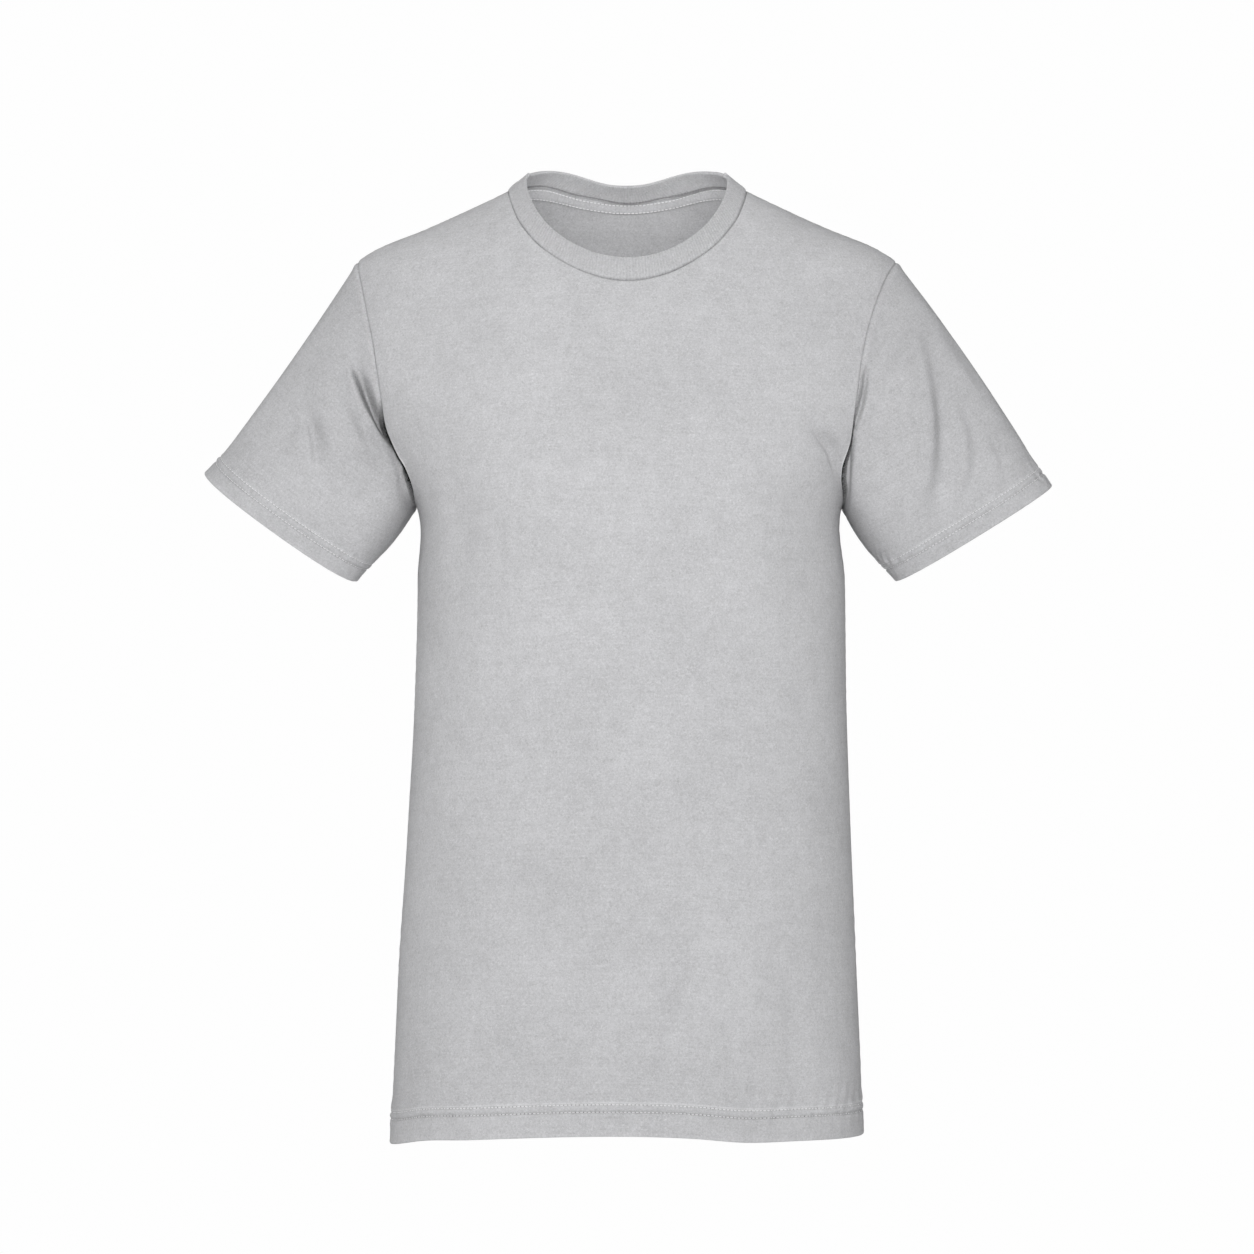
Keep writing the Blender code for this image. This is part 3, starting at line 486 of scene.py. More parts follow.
def turn_edges(points, through, u, v, wear_and_light, hem):
    """Grid with its lower edge folded up inside, and its other edges turned in at their seams."""
    reach = 2 * JERSEY_THICKNESS + LAYER_GAP
    radius = reach / 2
    last, top = points.shape[0] - 1, points.shape[1] - 1
    lips = len(LIP_DEPTHS)
    fold = np.radians(FOLD_TURNS)
    layer = np.array(hem["turned"][::-1])
    under = len(layer) + len(fold)
    flat_row = np.zeros(top + 1)
    row_place = np.concatenate((layer, np.zeros(len(fold), int), np.arange(top + 1), np.full(lips, top)))
    row_in = np.concatenate((np.full(len(layer), reach), radius * (1 - np.cos(fold)), flat_row, LIP_DEPTHS))
    row_down = np.zeros(len(row_place))
    row_down[len(layer):under] = radius * np.sin(fold)
    row_v = np.concatenate((-np.array(hem["rows"])[layer] - reach, -radius * fold, flat_row, LIP_DEPTHS))
    own_v = np.arange(len(row_place)) >= under
    lip_scale = np.ones(len(row_place))
    lip_scale[:under + len(hem["rows"])] = HEM_LIP_SHARE
    lip_scale[:under] = -HEM_LIP_SHARE
    column_place = np.concatenate((np.zeros(lips, int), np.arange(last + 1), np.full(lips, last)))
    column_in = np.concatenate((LIP_DEPTHS[::-1], np.zeros(last + 1), LIP_DEPTHS))
    column_u = np.concatenate((-LIP_DEPTHS[::-1], np.zeros(last + 1), LIP_DEPTHS))
    grid = np.ix_(column_place, row_place)
    down = unit(points[:, 0] - points[:, 1])[column_place]
    inward = row_in + column_in[:, None] * lip_scale
    placed = points[grid] - through[grid] * inward[..., None] + down[:, None] * row_down[:, None]
    return placed, u[grid] + column_u[:, None], v[grid] * own_v + row_v, wear_and_light[grid]


# Wear and painted light on the cloth: edges worn paler, painted shade in the seams, creases and tucks, a
# painted highlight along the body's edge at the tucks, and painted shade and highlight on the hems' stitch
# lines.
RUB_REACH = 0.0018
SHADE_REACH = 0.0007
SEAM_SHADE = 3.0
FLAT_SEAM_SHADE = 1.0  # less painted shade where a seam lies flatter: the right armhole above the tuck
FLAT_SEAM_X = -0.15
FLAT_SEAM_HEIGHT = -0.165
HEM_ROLL_HIGHLIGHT = 5.0  # the cloth rolls up above the upper stitches, and a painted highlight lies on the roll
HEM_ROLL_OFF = 0.0013
HEM_PRESS_SHADE = 4.0  # and it is pressed in at the lower ones, where a painted shade darkens it
HEM_LINE_WIDTH = 0.0007
PINCH_START = 0.10  # how far the cloth turns before a painted shade darkens its crease
PINCH_SHADE = 20.0
TUCK_HEIGHT = -0.210  # where the sleeves tuck under the body's edge
TUCK_REACH = 0.030
TUCK_RIM_HIGHLIGHT = 13.0  # a painted highlight along the body's edge there, which also stands out
TUCK_RIM_WIDTH = 0.0016
TUCK_STAND = 0.0012


def edge_wear_and_seam_shade(points, side_off, top_off, v):
    """Paler where the cloth's edges are worn, with a painted shade in the seams that is fainter at the right
    armhole.
    """
    seam_off = np.minimum(side_off, top_off)
    flatter = (points[..., 0] < FLAT_SEAM_X) & (points[..., 2] > FLAT_SEAM_HEIGHT)
    worn_and_lit = np.exp(-seam_off / RUB_REACH) + np.exp(-v / RUB_REACH)
    return worn_and_lit - np.where(flatter, FLAT_SEAM_SHADE, SEAM_SHADE) * bell(seam_off, SHADE_REACH)


def hem_painted_lines(v, hem):
    """Painted shade on the pressed line of the lower stitches, and a painted highlight on the roll of cloth
    above the upper ones.
    """
    low, high = hem["stitches"]
    roll = HEM_ROLL_HIGHLIGHT * bell(v - high - HEM_ROLL_OFF, HEM_LINE_WIDTH)
    return hem["painted_lines"] * (roll - HEM_PRESS_SHADE * bell(v - low, HEM_LINE_WIDTH))


def pinched(before, after):
    """How sharply creases turn the cloth away from its plain form."""
    return np.clip(1 - np.sum(before * after, axis=-1) - PINCH_START, 0.0, None)


def tucked(points):
    return bell(points[..., 2] - TUCK_HEIGHT, TUCK_REACH)


def lay_grid(bm, columns, rows):
    """New grid of vertices, each with its column and row."""
    verts = bmesh.ops.create_grid(bm, x_segments=columns, y_segments=rows, size=1.0)["verts"]
    return {
        vert: (round((vert.co.x + 1) / 2 * columns), round((vert.co.y + 1) / 2 * rows)) for vert in verts
    }


def cloth_grid(points, u, v, wear_and_light, flip):
    """Sheet of cloth as a grid, with its flat places as a UV map, and its wear and painted light and shade
    on its vertices.
    """
    bm = bmesh.new()
    uv_layer = bm.loops.layers.uv.new("cloth")
    wear_and_light_layer = bm.verts.layers.float.new("wear_and_painted_light")
    places = lay_grid(bm, points.shape[0] - 1, points.shape[1] - 1)
    for vert, place in places.items():
        vert.co = points[place]
        vert[wear_and_light_layer] = wear_and_light[place]
    for cloth_face in bm.faces:
        for loop in cloth_face.loops:
            place = places[loop.vert]
            loop[uv_layer].uv = (u[place], v[place])
    if flip:
        bmesh.ops.reverse_faces(bm, faces=bm.faces)
    return bm


def finish_piece(name, bm, material, thickness=0.0):
    """Object from a mesh: smooth, with its cloth's thickness laid on the inside, on the one body."""
    mesh = bpy.data.meshes.new(name)
    bm.to_mesh(mesh)
    bm.free()
    mesh.shade_smooth()
    mesh.materials.append(material)
    piece = bpy.data.objects.new(name, mesh)
    bpy.context.scene.collection.objects.link(piece)
    if thickness:
        wall = piece.modifiers.new("cloth_thickness", "SOLIDIFY")
        wall.thickness = thickness
        wall.offset = -1.0
    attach(piece, "root")
    return piece


# Ways in which the neighbours set off from the panels' edges.
SLEEVE_WAY = (0.575, 0.0, -0.818)  # of the left sleeve, mirrored for the right
NECK_MIDDLE = np.array((0.0, 0.040, 0.0))
NECKBAND = table("turn lean_in rise", (
    (0, 7, 17.2),
    (22, 9.8, 16.4),
    (48, 13.8, 14.5),
    (95, 15, 12.2),
    (140, 15, 10.2),
    (180, 15, 12),
), plain="turn")


def band_reach(seam):
    """Way from each point of the neck seam to the neckband's folded edge."""
    inward = unit((NECK_MIDDLE - seam) * (1.0, 1.0, 0.0))
    bearing = np.degrees(np.arctan2(np.abs(seam[..., 0]), NECK_MIDDLE[1] - seam[..., 1]))
    reach = inward * smooth(NECKBAND["turn"], NECKBAND["lean_in"], bearing)[..., None]
    reach[..., 2] += smooth(NECKBAND["turn"], NECKBAND["rise"], bearing)
    return reach


def seam_way(normals, away):
    """Direction in which the edges of two sewn pieces turn in, where one sets off along away."""
    slope = np.sum(normals * away, axis=-1, keepdims=True)
    return unit(normals + unit(normals - slope * away))


front = {"points": panel_points("front")}
back = {"points": panel_points("back")}
LAST = front["points"].shape[0] - 1
ARMPIT_ROW = len(BODY_HEM["rows"]) + BODY_ROWS - 1
TOP_ROW = front["points"].shape[1] - 1
NECK_START = len(EDGE_STEPS) + SHOULDER_COLUMNS - 1

for face, panel in (("front", front), ("back", back)):
    points = panel["points"]
    normals = grid_normals(points, face == "back")
    facing = np.clip(np.cos(angle_at(points[..., 0], points[..., 2])), 0.0, 1.0)
    facing[:, -1] = 0.0
    depth = fold_depth(BODY_FOLDS[face], points[..., 0], points[..., 2])
    depth = depth + waves(points[..., 0], points[..., 2], RIPPLE_SEED + (face == "back"), *BODY_RIPPLES)
    panel["points"] = points - normals * (depth * facing ** 0.5)[..., None]
    panel["normals"] = grid_normals(panel["points"], face == "back")
    panel["pinch"] = pinched(normals, panel["normals"])


def share_seam(columns, rows):
    """Give both panels the same points and normals along a seam."""
    middle = (front["points"][columns, rows] + back["points"][columns, rows]) / 2
    normal = unit(front["normals"][columns, rows] + back["normals"][columns, rows])
    for panel in (front, back):
        panel["points"][columns, rows] = middle
        panel["normals"][columns, rows] = normal


for edge in (0, LAST):
    share_seam(edge, slice(0, ARMPIT_ROW + 1))
share_seam(slice(0, NECK_START + 1), TOP_ROW)
share_seam(slice(LAST - NECK_START, LAST + 1), TOP_ROW)

neck = slice(NECK_START, LAST - NECK_START + 1)
for panel in (front, back):
    through = panel["normals"].copy()
    for edge, side in ((0, -1), (LAST, 1)):
        armhole = through[edge, ARMPIT_ROW:]
        through[edge, ARMPIT_ROW:] = seam_way(armhole, np.array(SLEEVE_WAY) * (side, 1.0, 1.0))
    neck_way = unit(band_reach(panel["points"][neck, TOP_ROW]))
    through[neck, TOP_ROW] = seam_way(panel["normals"][neck, TOP_ROW], neck_way)
    panel["through"] = through

# Jersey: washed light grey cotton, clouded by the wash, with faint thick yarns across and a fine
# face of V-shaped stitches.
JERSEY_GREY = (0.545, 0.545, 0.556, 1.0)
JERSEY_KNIT = (0.00085, 0.00064, 0.00016)  # width and height of a stitch, and how far it stands out
PANEL_WASH = (0.20, 0.17)  # how strong the clouds and the thick yarns are
STITCH_PITCH = 0.0030


def add_node(tree, kind, sockets, **settings):
    """New node with its settings made and its sockets filled, by a number or by a link."""
    node = tree.nodes.new(kind)
    for key, value in settings.items():
        setattr(node, key, value)
    for key, value in sockets.items():
        if hasattr(value, "is_output"):
            tree.links.new(value, node.inputs[key])
        else:
            node.inputs[key].default_value = value
    return node


def calculate(tree, operation, *values):
    return add_node(tree, "ShaderNodeMath", dict(enumerate(values)), operation=operation).outputs[0]


def scale_colour(tree, colour, scale):
    return add_node(tree, "ShaderNodeVectorMath", {0: colour, "Scale": scale}, operation="SCALE").outputs[0]


def noise(tree, vector, scale, detail=2.0, roughness=0.5, distortion=0.0):
    sockets = {
        "Vector": vector, "Scale": scale, "Detail": detail, "Roughness": roughness, "Distortion": distortion,
    }
    return add_node(tree, "ShaderNodeTexNoise", sockets).outputs["Fac"]


def new_group(name, inputs, outputs):
    """Shader node group with its named sockets. A vector input has no value of its own."""
    tree = bpy.data.node_groups.new(name, "ShaderNodeTree")
    for key, value in inputs.items():
        kind = "Vector" if value is None else "Color" if isinstance(value, tuple) else "Float"
        socket = tree.interface.new_socket(name=key, in_out="INPUT", socket_type="NodeSocket" + kind)
        if value is not None:
            socket.default_value = value
    for key, kind in outputs.items():
        tree.interface.new_socket(name=key, in_out="OUTPUT", socket_type="NodeSocket" + kind)
    return tree, tree.nodes.new("NodeGroupInput").outputs, tree.nodes.new("NodeGroupOutput").inputs


KNIT_WANDER_SCALE = 420.0
KNIT_WANDER = 0.9
STITCH_SLANT = 0.8
LEG_START = 0.12 * math.pi
LEG_TURN = 0.76 * math.pi


def make_knit_group():
    """Face of a knit: columns of V-shaped stitches, uneven as spun cotton is."""
    inputs = {"Flat Place": None, "Wale": JERSEY_KNIT[0], "Course": JERSEY_KNIT[1]}
    tree, given, result = new_group("knit_stitches", inputs, {"Height": "Float"})
    sums = partial(calculate, tree)
    flat = add_node(tree, "ShaderNodeSeparateXYZ", {"Vector": given["Flat Place"]}).outputs
    uneven = sums("SUBTRACT", noise(tree, given["Flat Place"], KNIT_WANDER_SCALE), 0.5)
    wander = sums("MULTIPLY", uneven, KNIT_WANDER)
    across = sums("ADD", sums("DIVIDE", flat["X"], given["Wale"]), wander)
    upward = sums("ADD", sums("DIVIDE", flat["Y"], given["Course"]), wander)
    side = sums("ABSOLUTE", sums("SUBTRACT", sums("MULTIPLY", sums("FRACT", across), 2.0), 1.0))
    climb = sums("FRACT", sums("SUBTRACT", upward, sums("MULTIPLY", side, STITCH_SLANT)))
    strand = sums("SINE", sums("MULTIPLY", climb, math.pi))
    leg = sums("SINE", sums("MULTIPLY_ADD", side, LEG_TURN, LEG_START))
    tree.links.new(sums("MULTIPLY", strand, leg), result["Height"])
    return tree


NEEDLE_REACH = 0.0005
NEEDLE_PRESS = {"Upper Row": 0.15, "Lower Row": 0.45}  # how dark the painted shade of a row is between its holes
HOLE_SHARPNESS = 8.0
NEEDLE_PATCHES = (45.0, 2.0, 0.6)  # scale, detail and roughness of its unevenness
NEEDLE_PATCH_SHADE = 1.6
BODY_NEEDLE = 0.55


def make_needle_shade_group():
    """Painted shade of a twin needle: a darker pressed line with a darker hole at every stitch."""
    low, high = BODY_HEM["stitches"]
    inputs = {"Flat Place": None, "Upper Row": high, "Lower Row": low, "Strength": BODY_NEEDLE}
    tree, given, result = new_group("needle_painted_shade", inputs, {"Painted Shade": "Float"})
    sums = partial(calculate, tree)
    flat = add_node(tree, "ShaderNodeSeparateXYZ", {"Vector": given["Flat Place"]}).outputs
    turn = sums("COSINE", sums("MULTIPLY", flat["X"], math.pi / STITCH_PITCH))
    hole = sums("POWER", sums("ABSOLUTE", turn), HOLE_SHARPNESS)
    patches = sums("MULTIPLY", noise(tree, given["Flat Place"], *NEEDLE_PATCHES), NEEDLE_PATCH_SHADE)
    total = 0.0
    for row, pressed in NEEDLE_PRESS.items():
        off = sums("DIVIDE", sums("SUBTRACT", flat["Y"], given[row]), NEEDLE_REACH)
        near = sums("EXPONENT", sums("MULTIPLY", sums("MULTIPLY", off, off), -1.0))
        total = sums("MULTIPLY_ADD", near, sums("MULTIPLY_ADD", hole, 1.0 - pressed, pressed), total)
    darkening = sums("MULTIPLY", sums("MULTIPLY", total, patches), given["Strength"])
    tree.links.new(darkening, result["Painted Shade"])
    return tree


LARGE_CLOUDS = (14.0, 3.0, 0.55)  # scale, detail, roughness and distortion of each noise
SMALL_CLOUDS = (90.0, 4.0, 0.62)
FIBRES = (780.0, 2.0, 0.6, 1.0)
SWIRL = (170.0, 1.5, 0.5, 0.6)
YARNS = (1.0, 3.0, 0.6)
YARN_STRETCH = (22.0, 620.0, 1.0)  # long across the cloth, and thin
FLUFF = 0.78
CURL_TURNS = 2.2
CURL_SHARE = 0.020
FLUFF_HEIGHT = 0.35
# how strongly the edges' wear and the painted light and shade on the mesh show
EDGE_WEAR_AND_LIGHT = 0.045
COTTON_ROUGHNESS = 0.96
CLOUD_GLOSS = -0.06


def make_wash_and_light_group():
    """Washed cotton: clouds of paler and darker tone, thick and thin yarns, specks of fluff, edges worn
    paler, and the painted light and shade of the mesh and the needle rows.
    """
    inputs = {
        "Place": None, "Flat Place": None, "Colour": JERSEY_GREY, "Clouds": PANEL_WASH[0],
        "Yarns": PANEL_WASH[1], "Fluff": FLUFF, "Wear And Painted Light": EDGE_WEAR_AND_LIGHT, "Needle Shade": 0.0,
    }
    outputs = {"Colour": "Color", "Roughness": "Float", "Height": "Float"}
    tree, given, result = new_group("washed_cotton_and_painted_light", inputs, outputs)
    sums = partial(calculate, tree)
    large = noise(tree, given["Place"], *LARGE_CLOUDS)
    small = noise(tree, given["Place"], *SMALL_CLOUDS)
    fibres = noise(tree, given["Place"], *FIBRES)
    swirl = noise(tree, given["Place"], *SWIRL)
    curls = sums("SINE", sums("MULTIPLY", swirl, CURL_TURNS * 2 * math.pi))
    clouds = sums("SUBTRACT", sums("ADD", large, small), 1.0)
    stretched = add_node(tree, "ShaderNodeMapping", {"Vector": given["Flat Place"], "Scale": YARN_STRETCH})
    yarn = sums("SUBTRACT", noise(tree, stretched.outputs[0], *YARNS), 0.5)
    fluff = sums("MULTIPLY_ADD", curls, CURL_SHARE, sums("SUBTRACT", fibres, 0.5))
    wear_and_light = add_node(tree, "ShaderNodeAttribute", {}, attribute_name="wear_and_painted_light").outputs["Fac"]
    shade = 1.0
    for effect, strength in ((clouds, "Clouds"), (yarn, "Yarns"), (fluff, "Fluff"), (wear_and_light, "Wear And Painted Light")):
        shade = sums("MULTIPLY_ADD", effect, given[strength], shade)
    shade = sums("SUBTRACT", shade, given["Needle Shade"])
    tree.links.new(scale_colour(tree, given["Colour"], shade), result["Colour"])
    tree.links.new(sums("MULTIPLY_ADD", small, CLOUD_GLOSS, COTTON_ROUGHNESS), result["Roughness"])
    height = sums("MULTIPLY_ADD", fluff, FLUFF_HEIGHT, sums("ADD", yarn, 0.5))
    tree.links.new(height, result["Height"])
    return tree


KNIT_GROUP = make_knit_group()
NEEDLE_SHADE_GROUP = make_needle_shade_group()
WASH_AND_LIGHT_GROUP = make_wash_and_light_group()
SLUB_HEIGHT = 0.00012
RIM_SHADE = 0.15  # how much darker the cloth turns where it is seen edge on
RIM_POWER = 12.0
COTTON_GLOSS = 0.25
COTTON_MATT = 0.6


def cotton_material(name, colour, wash, knit=JERSEY_KNIT, worn_and_lit=EDGE_WEAR_AND_LIGHT, needle_rows=(), needle=0.0):
    """Matt cotton knit with a soft bloom of fibres, its pattern on the cut cloth's own places, with the
    painted light and shade of the mesh and needle rows, and darker where seen edge on.
    """
    material = bpy.data.materials.new(name)
    material.use_nodes = True
    tree = material.node_tree
    shader = tree.nodes["Principled BSDF"]
    place = tree.nodes.new("ShaderNodeTexCoord").outputs["Object"]
    flat = add_node(tree, "ShaderNodeUVMap", {}, uv_map="cloth").outputs["UV"]
    washed = add_node(tree, "ShaderNodeGroup", {
        "Place": place, "Flat Place": flat, "Colour": colour, "Clouds": wash[0], "Yarns": wash[1],
        "Wear And Painted Light": worn_and_lit}, node_tree=WASH_AND_LIGHT_GROUP)
    if needle_rows:
        painted_lines = add_node(tree, "ShaderNodeGroup", {
            "Flat Place": flat, "Lower Row": needle_rows[0], "Upper Row": needle_rows[1],
            "Strength": needle}, node_tree=NEEDLE_SHADE_GROUP)
        tree.links.new(painted_lines.outputs["Painted Shade"], washed.inputs["Needle Shade"])
    stitches = add_node(tree, "ShaderNodeGroup", {
        "Flat Place": flat, "Wale": knit[0], "Course": knit[1]}, node_tree=KNIT_GROUP)
    slub_bump = add_node(tree, "ShaderNodeBump", {
        "Strength": 1.0, "Distance": SLUB_HEIGHT, "Height": washed.outputs["Height"]})
    knit_bump = add_node(tree, "ShaderNodeBump", {
        "Strength": 1.0, "Distance": knit[2], "Height": stitches.outputs["Height"],
        "Normal": slub_bump.outputs["Normal"]})
    facing = tree.nodes.new("ShaderNodeLayerWeight").outputs["Facing"]
    darker = calculate(tree, "MULTIPLY_ADD", calculate(tree, "POWER", facing, RIM_POWER), -RIM_SHADE, 1.0)
    rim_shaded = scale_colour(tree, washed.outputs["Colour"], darker)
    tree.links.new(rim_shaded, shader.inputs["Base Color"])
    tree.links.new(washed.outputs["Roughness"], shader.inputs["Roughness"])
    tree.links.new(knit_bump.outputs["Normal"], shader.inputs["Normal"])
    shader.inputs["Specular IOR Level"].default_value = COTTON_GLOSS
    shader.inputs["Diffuse Roughness"].default_value = COTTON_MATT
    return material


body_jersey = cotton_material(
    "body_jersey", JERSEY_GREY, PANEL_WASH, needle_rows=BODY_HEM["stitches"], needle=BODY_NEEDLE)

for face, panel, flat_length in (("front", front, 0.805), ("back", back, 0.815)):
    points, through = panel["points"], panel["through"]
    u, v = lay_flat(points)
    side_off, top_off = seam_distances(points)
    ridge = SEAM_RIDGE if face == "back" else 0.0
    seed = PUCKER_SEED + (face == "back")
    depth = cloth_relief(u, v, side_off, top_off, (ridge, ridge), BODY_SIDE_GATHERS, BODY_HEM, seed)
    rim = tucked(points) * bell(side_off, TUCK_RIM_WIDTH)
    outer = points - through * (depth - TUCK_STAND * rim)[..., None]
    panel["outer"] = outer
    panel["across"] = u
    # Edges worn paler, painted shade in the seams and creases, the hem's painted shade and highlight, and a
    # painted highlight along the body's edge where the sleeves tuck under it.
    wear_and_light = edge_wear_and_seam_shade(points, side_off, top_off, v) + hem_painted_lines(v, BODY_HEM) - PINCH_SHADE * panel["pinch"]
    wear_and_light = wear_and_light + TUCK_RIM_HIGHLIGHT * rim
    grid = turn_edges(outer, through, *level_places(face, points, u, v), wear_and_light, BODY_HEM)
    piece = finish_piece("body_" + face, cloth_grid(*grid, face == "back"), body_jersey, JERSEY_THICKNESS)
    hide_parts(face)


# ==== Sleeves =====================================================================================
# Each sleeve is one piece of the same jersey, closed by a seam under the arm and sewn round the
# armhole. Its lower edge is turned up 18 mm to the inside and held by a twin needle.

SLEEVES = (
    {"name": "sleeve_right", "side": -1, "top": (0.3219, -0.2176), "under": (0.2094, -0.2984),
     "front_drop": 0.0062, "top_crown": -0.0022, "under_crown": 0.0042},
    {"name": "sleeve_left", "side": 1, "top": (0.3242, -0.2276), "under": (0.2087, -0.2985),
     "front_drop": 0.0030, "top_crown": 0.0040, "under_crown": 0.0052},
)
SLEEVE_HALF_DEPTH = 0.044
SLEEVE_MIDDLE_Y = -0.002
SLEEVE_ROUNDNESS = 2.40
SLEEVE_CROWN = 0.005
SLEEVE_SWELL_POWER = 0.8
SLEEVE_FLARE = 0.002
FLARE_SHARE = 0.15
SLEEVE_HEM = {
    "depth": 0.018,
    "rows": (
        0.0, 0.0008, 0.002, 0.004, 0.006, 0.008, 0.0095, 0.0106, 0.0112, 0.0118,
        0.0130, 0.0145, 0.0158, 0.0166, 0.0172, 0.0178, 0.0184, 0.0192,
    ),
    "turned": (0, 2, 4, 6, 8, 10, 12, 14),
    "stitches": (0.0112, 0.0166),
    "gathers": 0.00045,
    "painted_lines": 0.45,
}
SLEEVE_RING_STEPS = 270
SLEEVE_ROWS = 104

# Folds, and finer creases that may run up to the armhole seam, as for the panels.
SLEEVE_FOLDS = {
    "front": (
        (-209, -118, -183, -188, -6, 9, 3),
        (-249, -160, -236, -208, -3, 11, 2.6),
        (-220, -166, -194, -212, -3, 11, 3),
        (-258, -164, -264, -204, -2, 12, 1.8),
        (227, -108, 234, -256, 10, 11, 2.4),
        (214, -140, 222, -235, 9, 10, -1.8),
        (258, -166, 258, -240, 7, 10, 1.6),
        (196, -104, 186, -170, -3, 9, 2.4),
    ),
    "back": (
        (-205, -120, -218, -240, -8, 13, 4.5),
        (-236, -150, -262, -215, -4, 12, 3),
        (206, -118, 222, -236, 8, 13, 4.5),
        (242, -150, 266, -220, 4, 12, 3),
    ),
}
SLEEVE_CREASES = {
    "front": (
        (-206, -145, -181, -193, -2.2, 6, 8.5, 1.5),
        (-214, -129, -193.5, -183, -3.3, 4.5, -3),
        (-184, -186, -164, -242, 1.2, 6, 8, 6),
        (-190, -200, -174, -250, 1, 9, 3),
        (-248.4, -164, -236.2, -212, 1.5, 6.5, 3.8, 3.5),
        (-257.6, -174, -262.1, -198, 1, 5.5, 2),
        (-219.5, -164, -194.5, -214, 0, 6.5, 2.4, 4.5),
        (-207.3, -171, -194, -199, 0, 5.5, -2.2),
        (-230.1, -175, -214.9, -215, 0, 5.5, -2.2),
        (-242, -130, -231, -175, 1, 6, 1.2),
        (-272, -178, -260, -225, 1, 6, 1.2),
        (230.5, -115, 235.7, -256, 10, 10.5, 3.1, 8),
        (221.5, -109, 228.5, -228, 7, 6.5, -2.8),
        (259.5, -166, 259.5, -240, 8, 9.5, 2.5, 7),
        (253, -172, 253, -230, 7, 5, -1.6),
        (277.6, -189, 288.3, -216, 1, 5, 1.8, 3),
        (214.1, -118, 193.5, -156, 1, 4.5, 1.8),
        (206, -112, 190, -140, 1, 4, -1.4),
        (243.8, -108.2, 272, -151, 1, 4, 3.2),
        (182.6, -140, 172.8, -183, 1.8, 2.2, 4.8, 3),
        (170.2, -185, 165.2, -244, -1.2, 4, 7),
    ),
    "back": (
        (-210, -130, -184, -200, -3, 7.5, 4.5, 2.5),
        (-243, -170, -230, -230, -3, 6, 2.2),
        (212, -124, 186, -196, 3, 3, 4.5, 7.5),
        (248, -170, 238, -234, 4, 6, 2.4),
    ),
}
FOLD_FREE_START = 0.12  # shares of the sleeve's length over which folds and creases settle
FOLD_FREE_END = 0.15
CREASE_FREE = 0.012
SLEEVE_RIPPLES = (8, 0.04, 0.12, 0.0006)
ARMHOLE_RIDGE = 0.0006
SLEEVE_SIDE_GATHERS = 0.00006
SLEEVE_SEED = 61
TUCK_SHADE = 7.0  # a painted shade along the line where a sleeve tucks under the body's edge
TUCK_SHADE_WIDTH = 0.0024
TUCK_DUSK = 1.8  # and a wider painted shadow there on the right sleeve
TUCK_DUSK_REACH = 0.048
# The sleeves' grey is a little darker than the body's: a painted shade over the whole sleeve.
SHADED_SLEEVE_GREY = (0.527, 0.527, 0.538, 1.0)
SLEEVE_NEEDLE = 0.35


def armhole_ring(edge, key):
    """Values round an armhole: up the front from the armpit, over the shoulder, down the back."""
    return np.concatenate((front[key][edge, ARMPIT_ROW:], back[key][edge, ARMPIT_ROW:][-2::-1]))


def sleeve_opening(sleeve, turns):
    """Edge of a sleeve's hem. A turn runs from 0 at the underside, over the front, to 1."""
    side = sleeve["side"]
    top, under = (np.array((side * x, SLEEVE_MIDDLE_Y, z)) for x, z in (sleeve["top"], sleeve["under"]))
    swing = 2 * math.pi * turns
    rise = -signed_power(np.cos(swing), 2.0 / SLEEVE_ROUNDNESS)
    forward = signed_power(np.sin(swing), 2.0 / SLEEVE_ROUNDNESS)
    half = (top - under) / 2
    along = np.array((side * -half[2], 0.0, side * half[0])) / np.linalg.norm(half)
    along = along * np.sign(along[0]) * side
    points = (top + under) / 2 + rise[:, None] * half
    points = points + along * (sleeve["front_drop"] * forward)[:, None]
    points[:, 1] -= SLEEVE_HALF_DEPTH * forward
    return points, unit(half)


def sleeve_points(sleeve, armhole, turns):
    """Points of a sleeve on its form, from its hem to the armhole, before its folds."""
    hem, upward = sleeve_opening(sleeve, turns)
    lengths = np.linalg.norm(hem - armhole, axis=1)[:, None]
    hem_rows = np.array(SLEEVE_HEM["rows"])[None, :]
    beside = EDGE_STEPS[None, ::-1]
    steps = np.linspace(0.0, 1.0, SLEEVE_ROWS + 1)[1:-1]
    middle_rows = hem_rows[:, -1:] + (lengths - beside[:, :1] - hem_rows[:, -1:]) * steps
    rows = np.concatenate((np.repeat(hem_rows, len(turns), 0), middle_rows, lengths - beside), axis=1)
    reaches = 1 - rows / lengths
    points = armhole[:, None, :] + (hem - armhole)[:, None, :] * reaches[..., None]
    swell = np.sin(math.pi * np.clip(reaches, 0.0, 1.0)) ** SLEEVE_SWELL_POWER
    forward = np.sin(2 * math.pi * turns)[:, None]
    rise = -np.cos(2 * math.pi * turns)
    fullness = (np.where(rise > 0, sleeve["top_crown"], sleeve["under_crown"]) * rise)[:, None]
    points[..., 1] -= SLEEVE_CROWN * forward * swell
    points = points + upward * (fullness * swell)[..., None]
    flare = np.clip(reaches - 1 + FLARE_SHARE, 0.0, None) / FLARE_SHARE
    across = unit(hem - hem.mean(axis=0))
    return points + across[:, None, :] * (SLEEVE_FLARE * flare ** 2)[..., None], reaches


def sleeve_normals(points, flip):
    """Normals of a sleeve's grid, the same at both ends, which meet at the seam under the arm."""
    normals = grid_normals(points, flip)
    normals[0] = normals[-1] = unit(normals[0] + normals[-1])
    return normals


shaded_sleeve_jersey = cotton_material(
    "shaded_sleeve_jersey", SHADED_SLEEVE_GREY, PANEL_WASH, needle_rows=SLEEVE_HEM["stitches"], needle=SLEEVE_NEEDLE)
sewn_sleeves = []

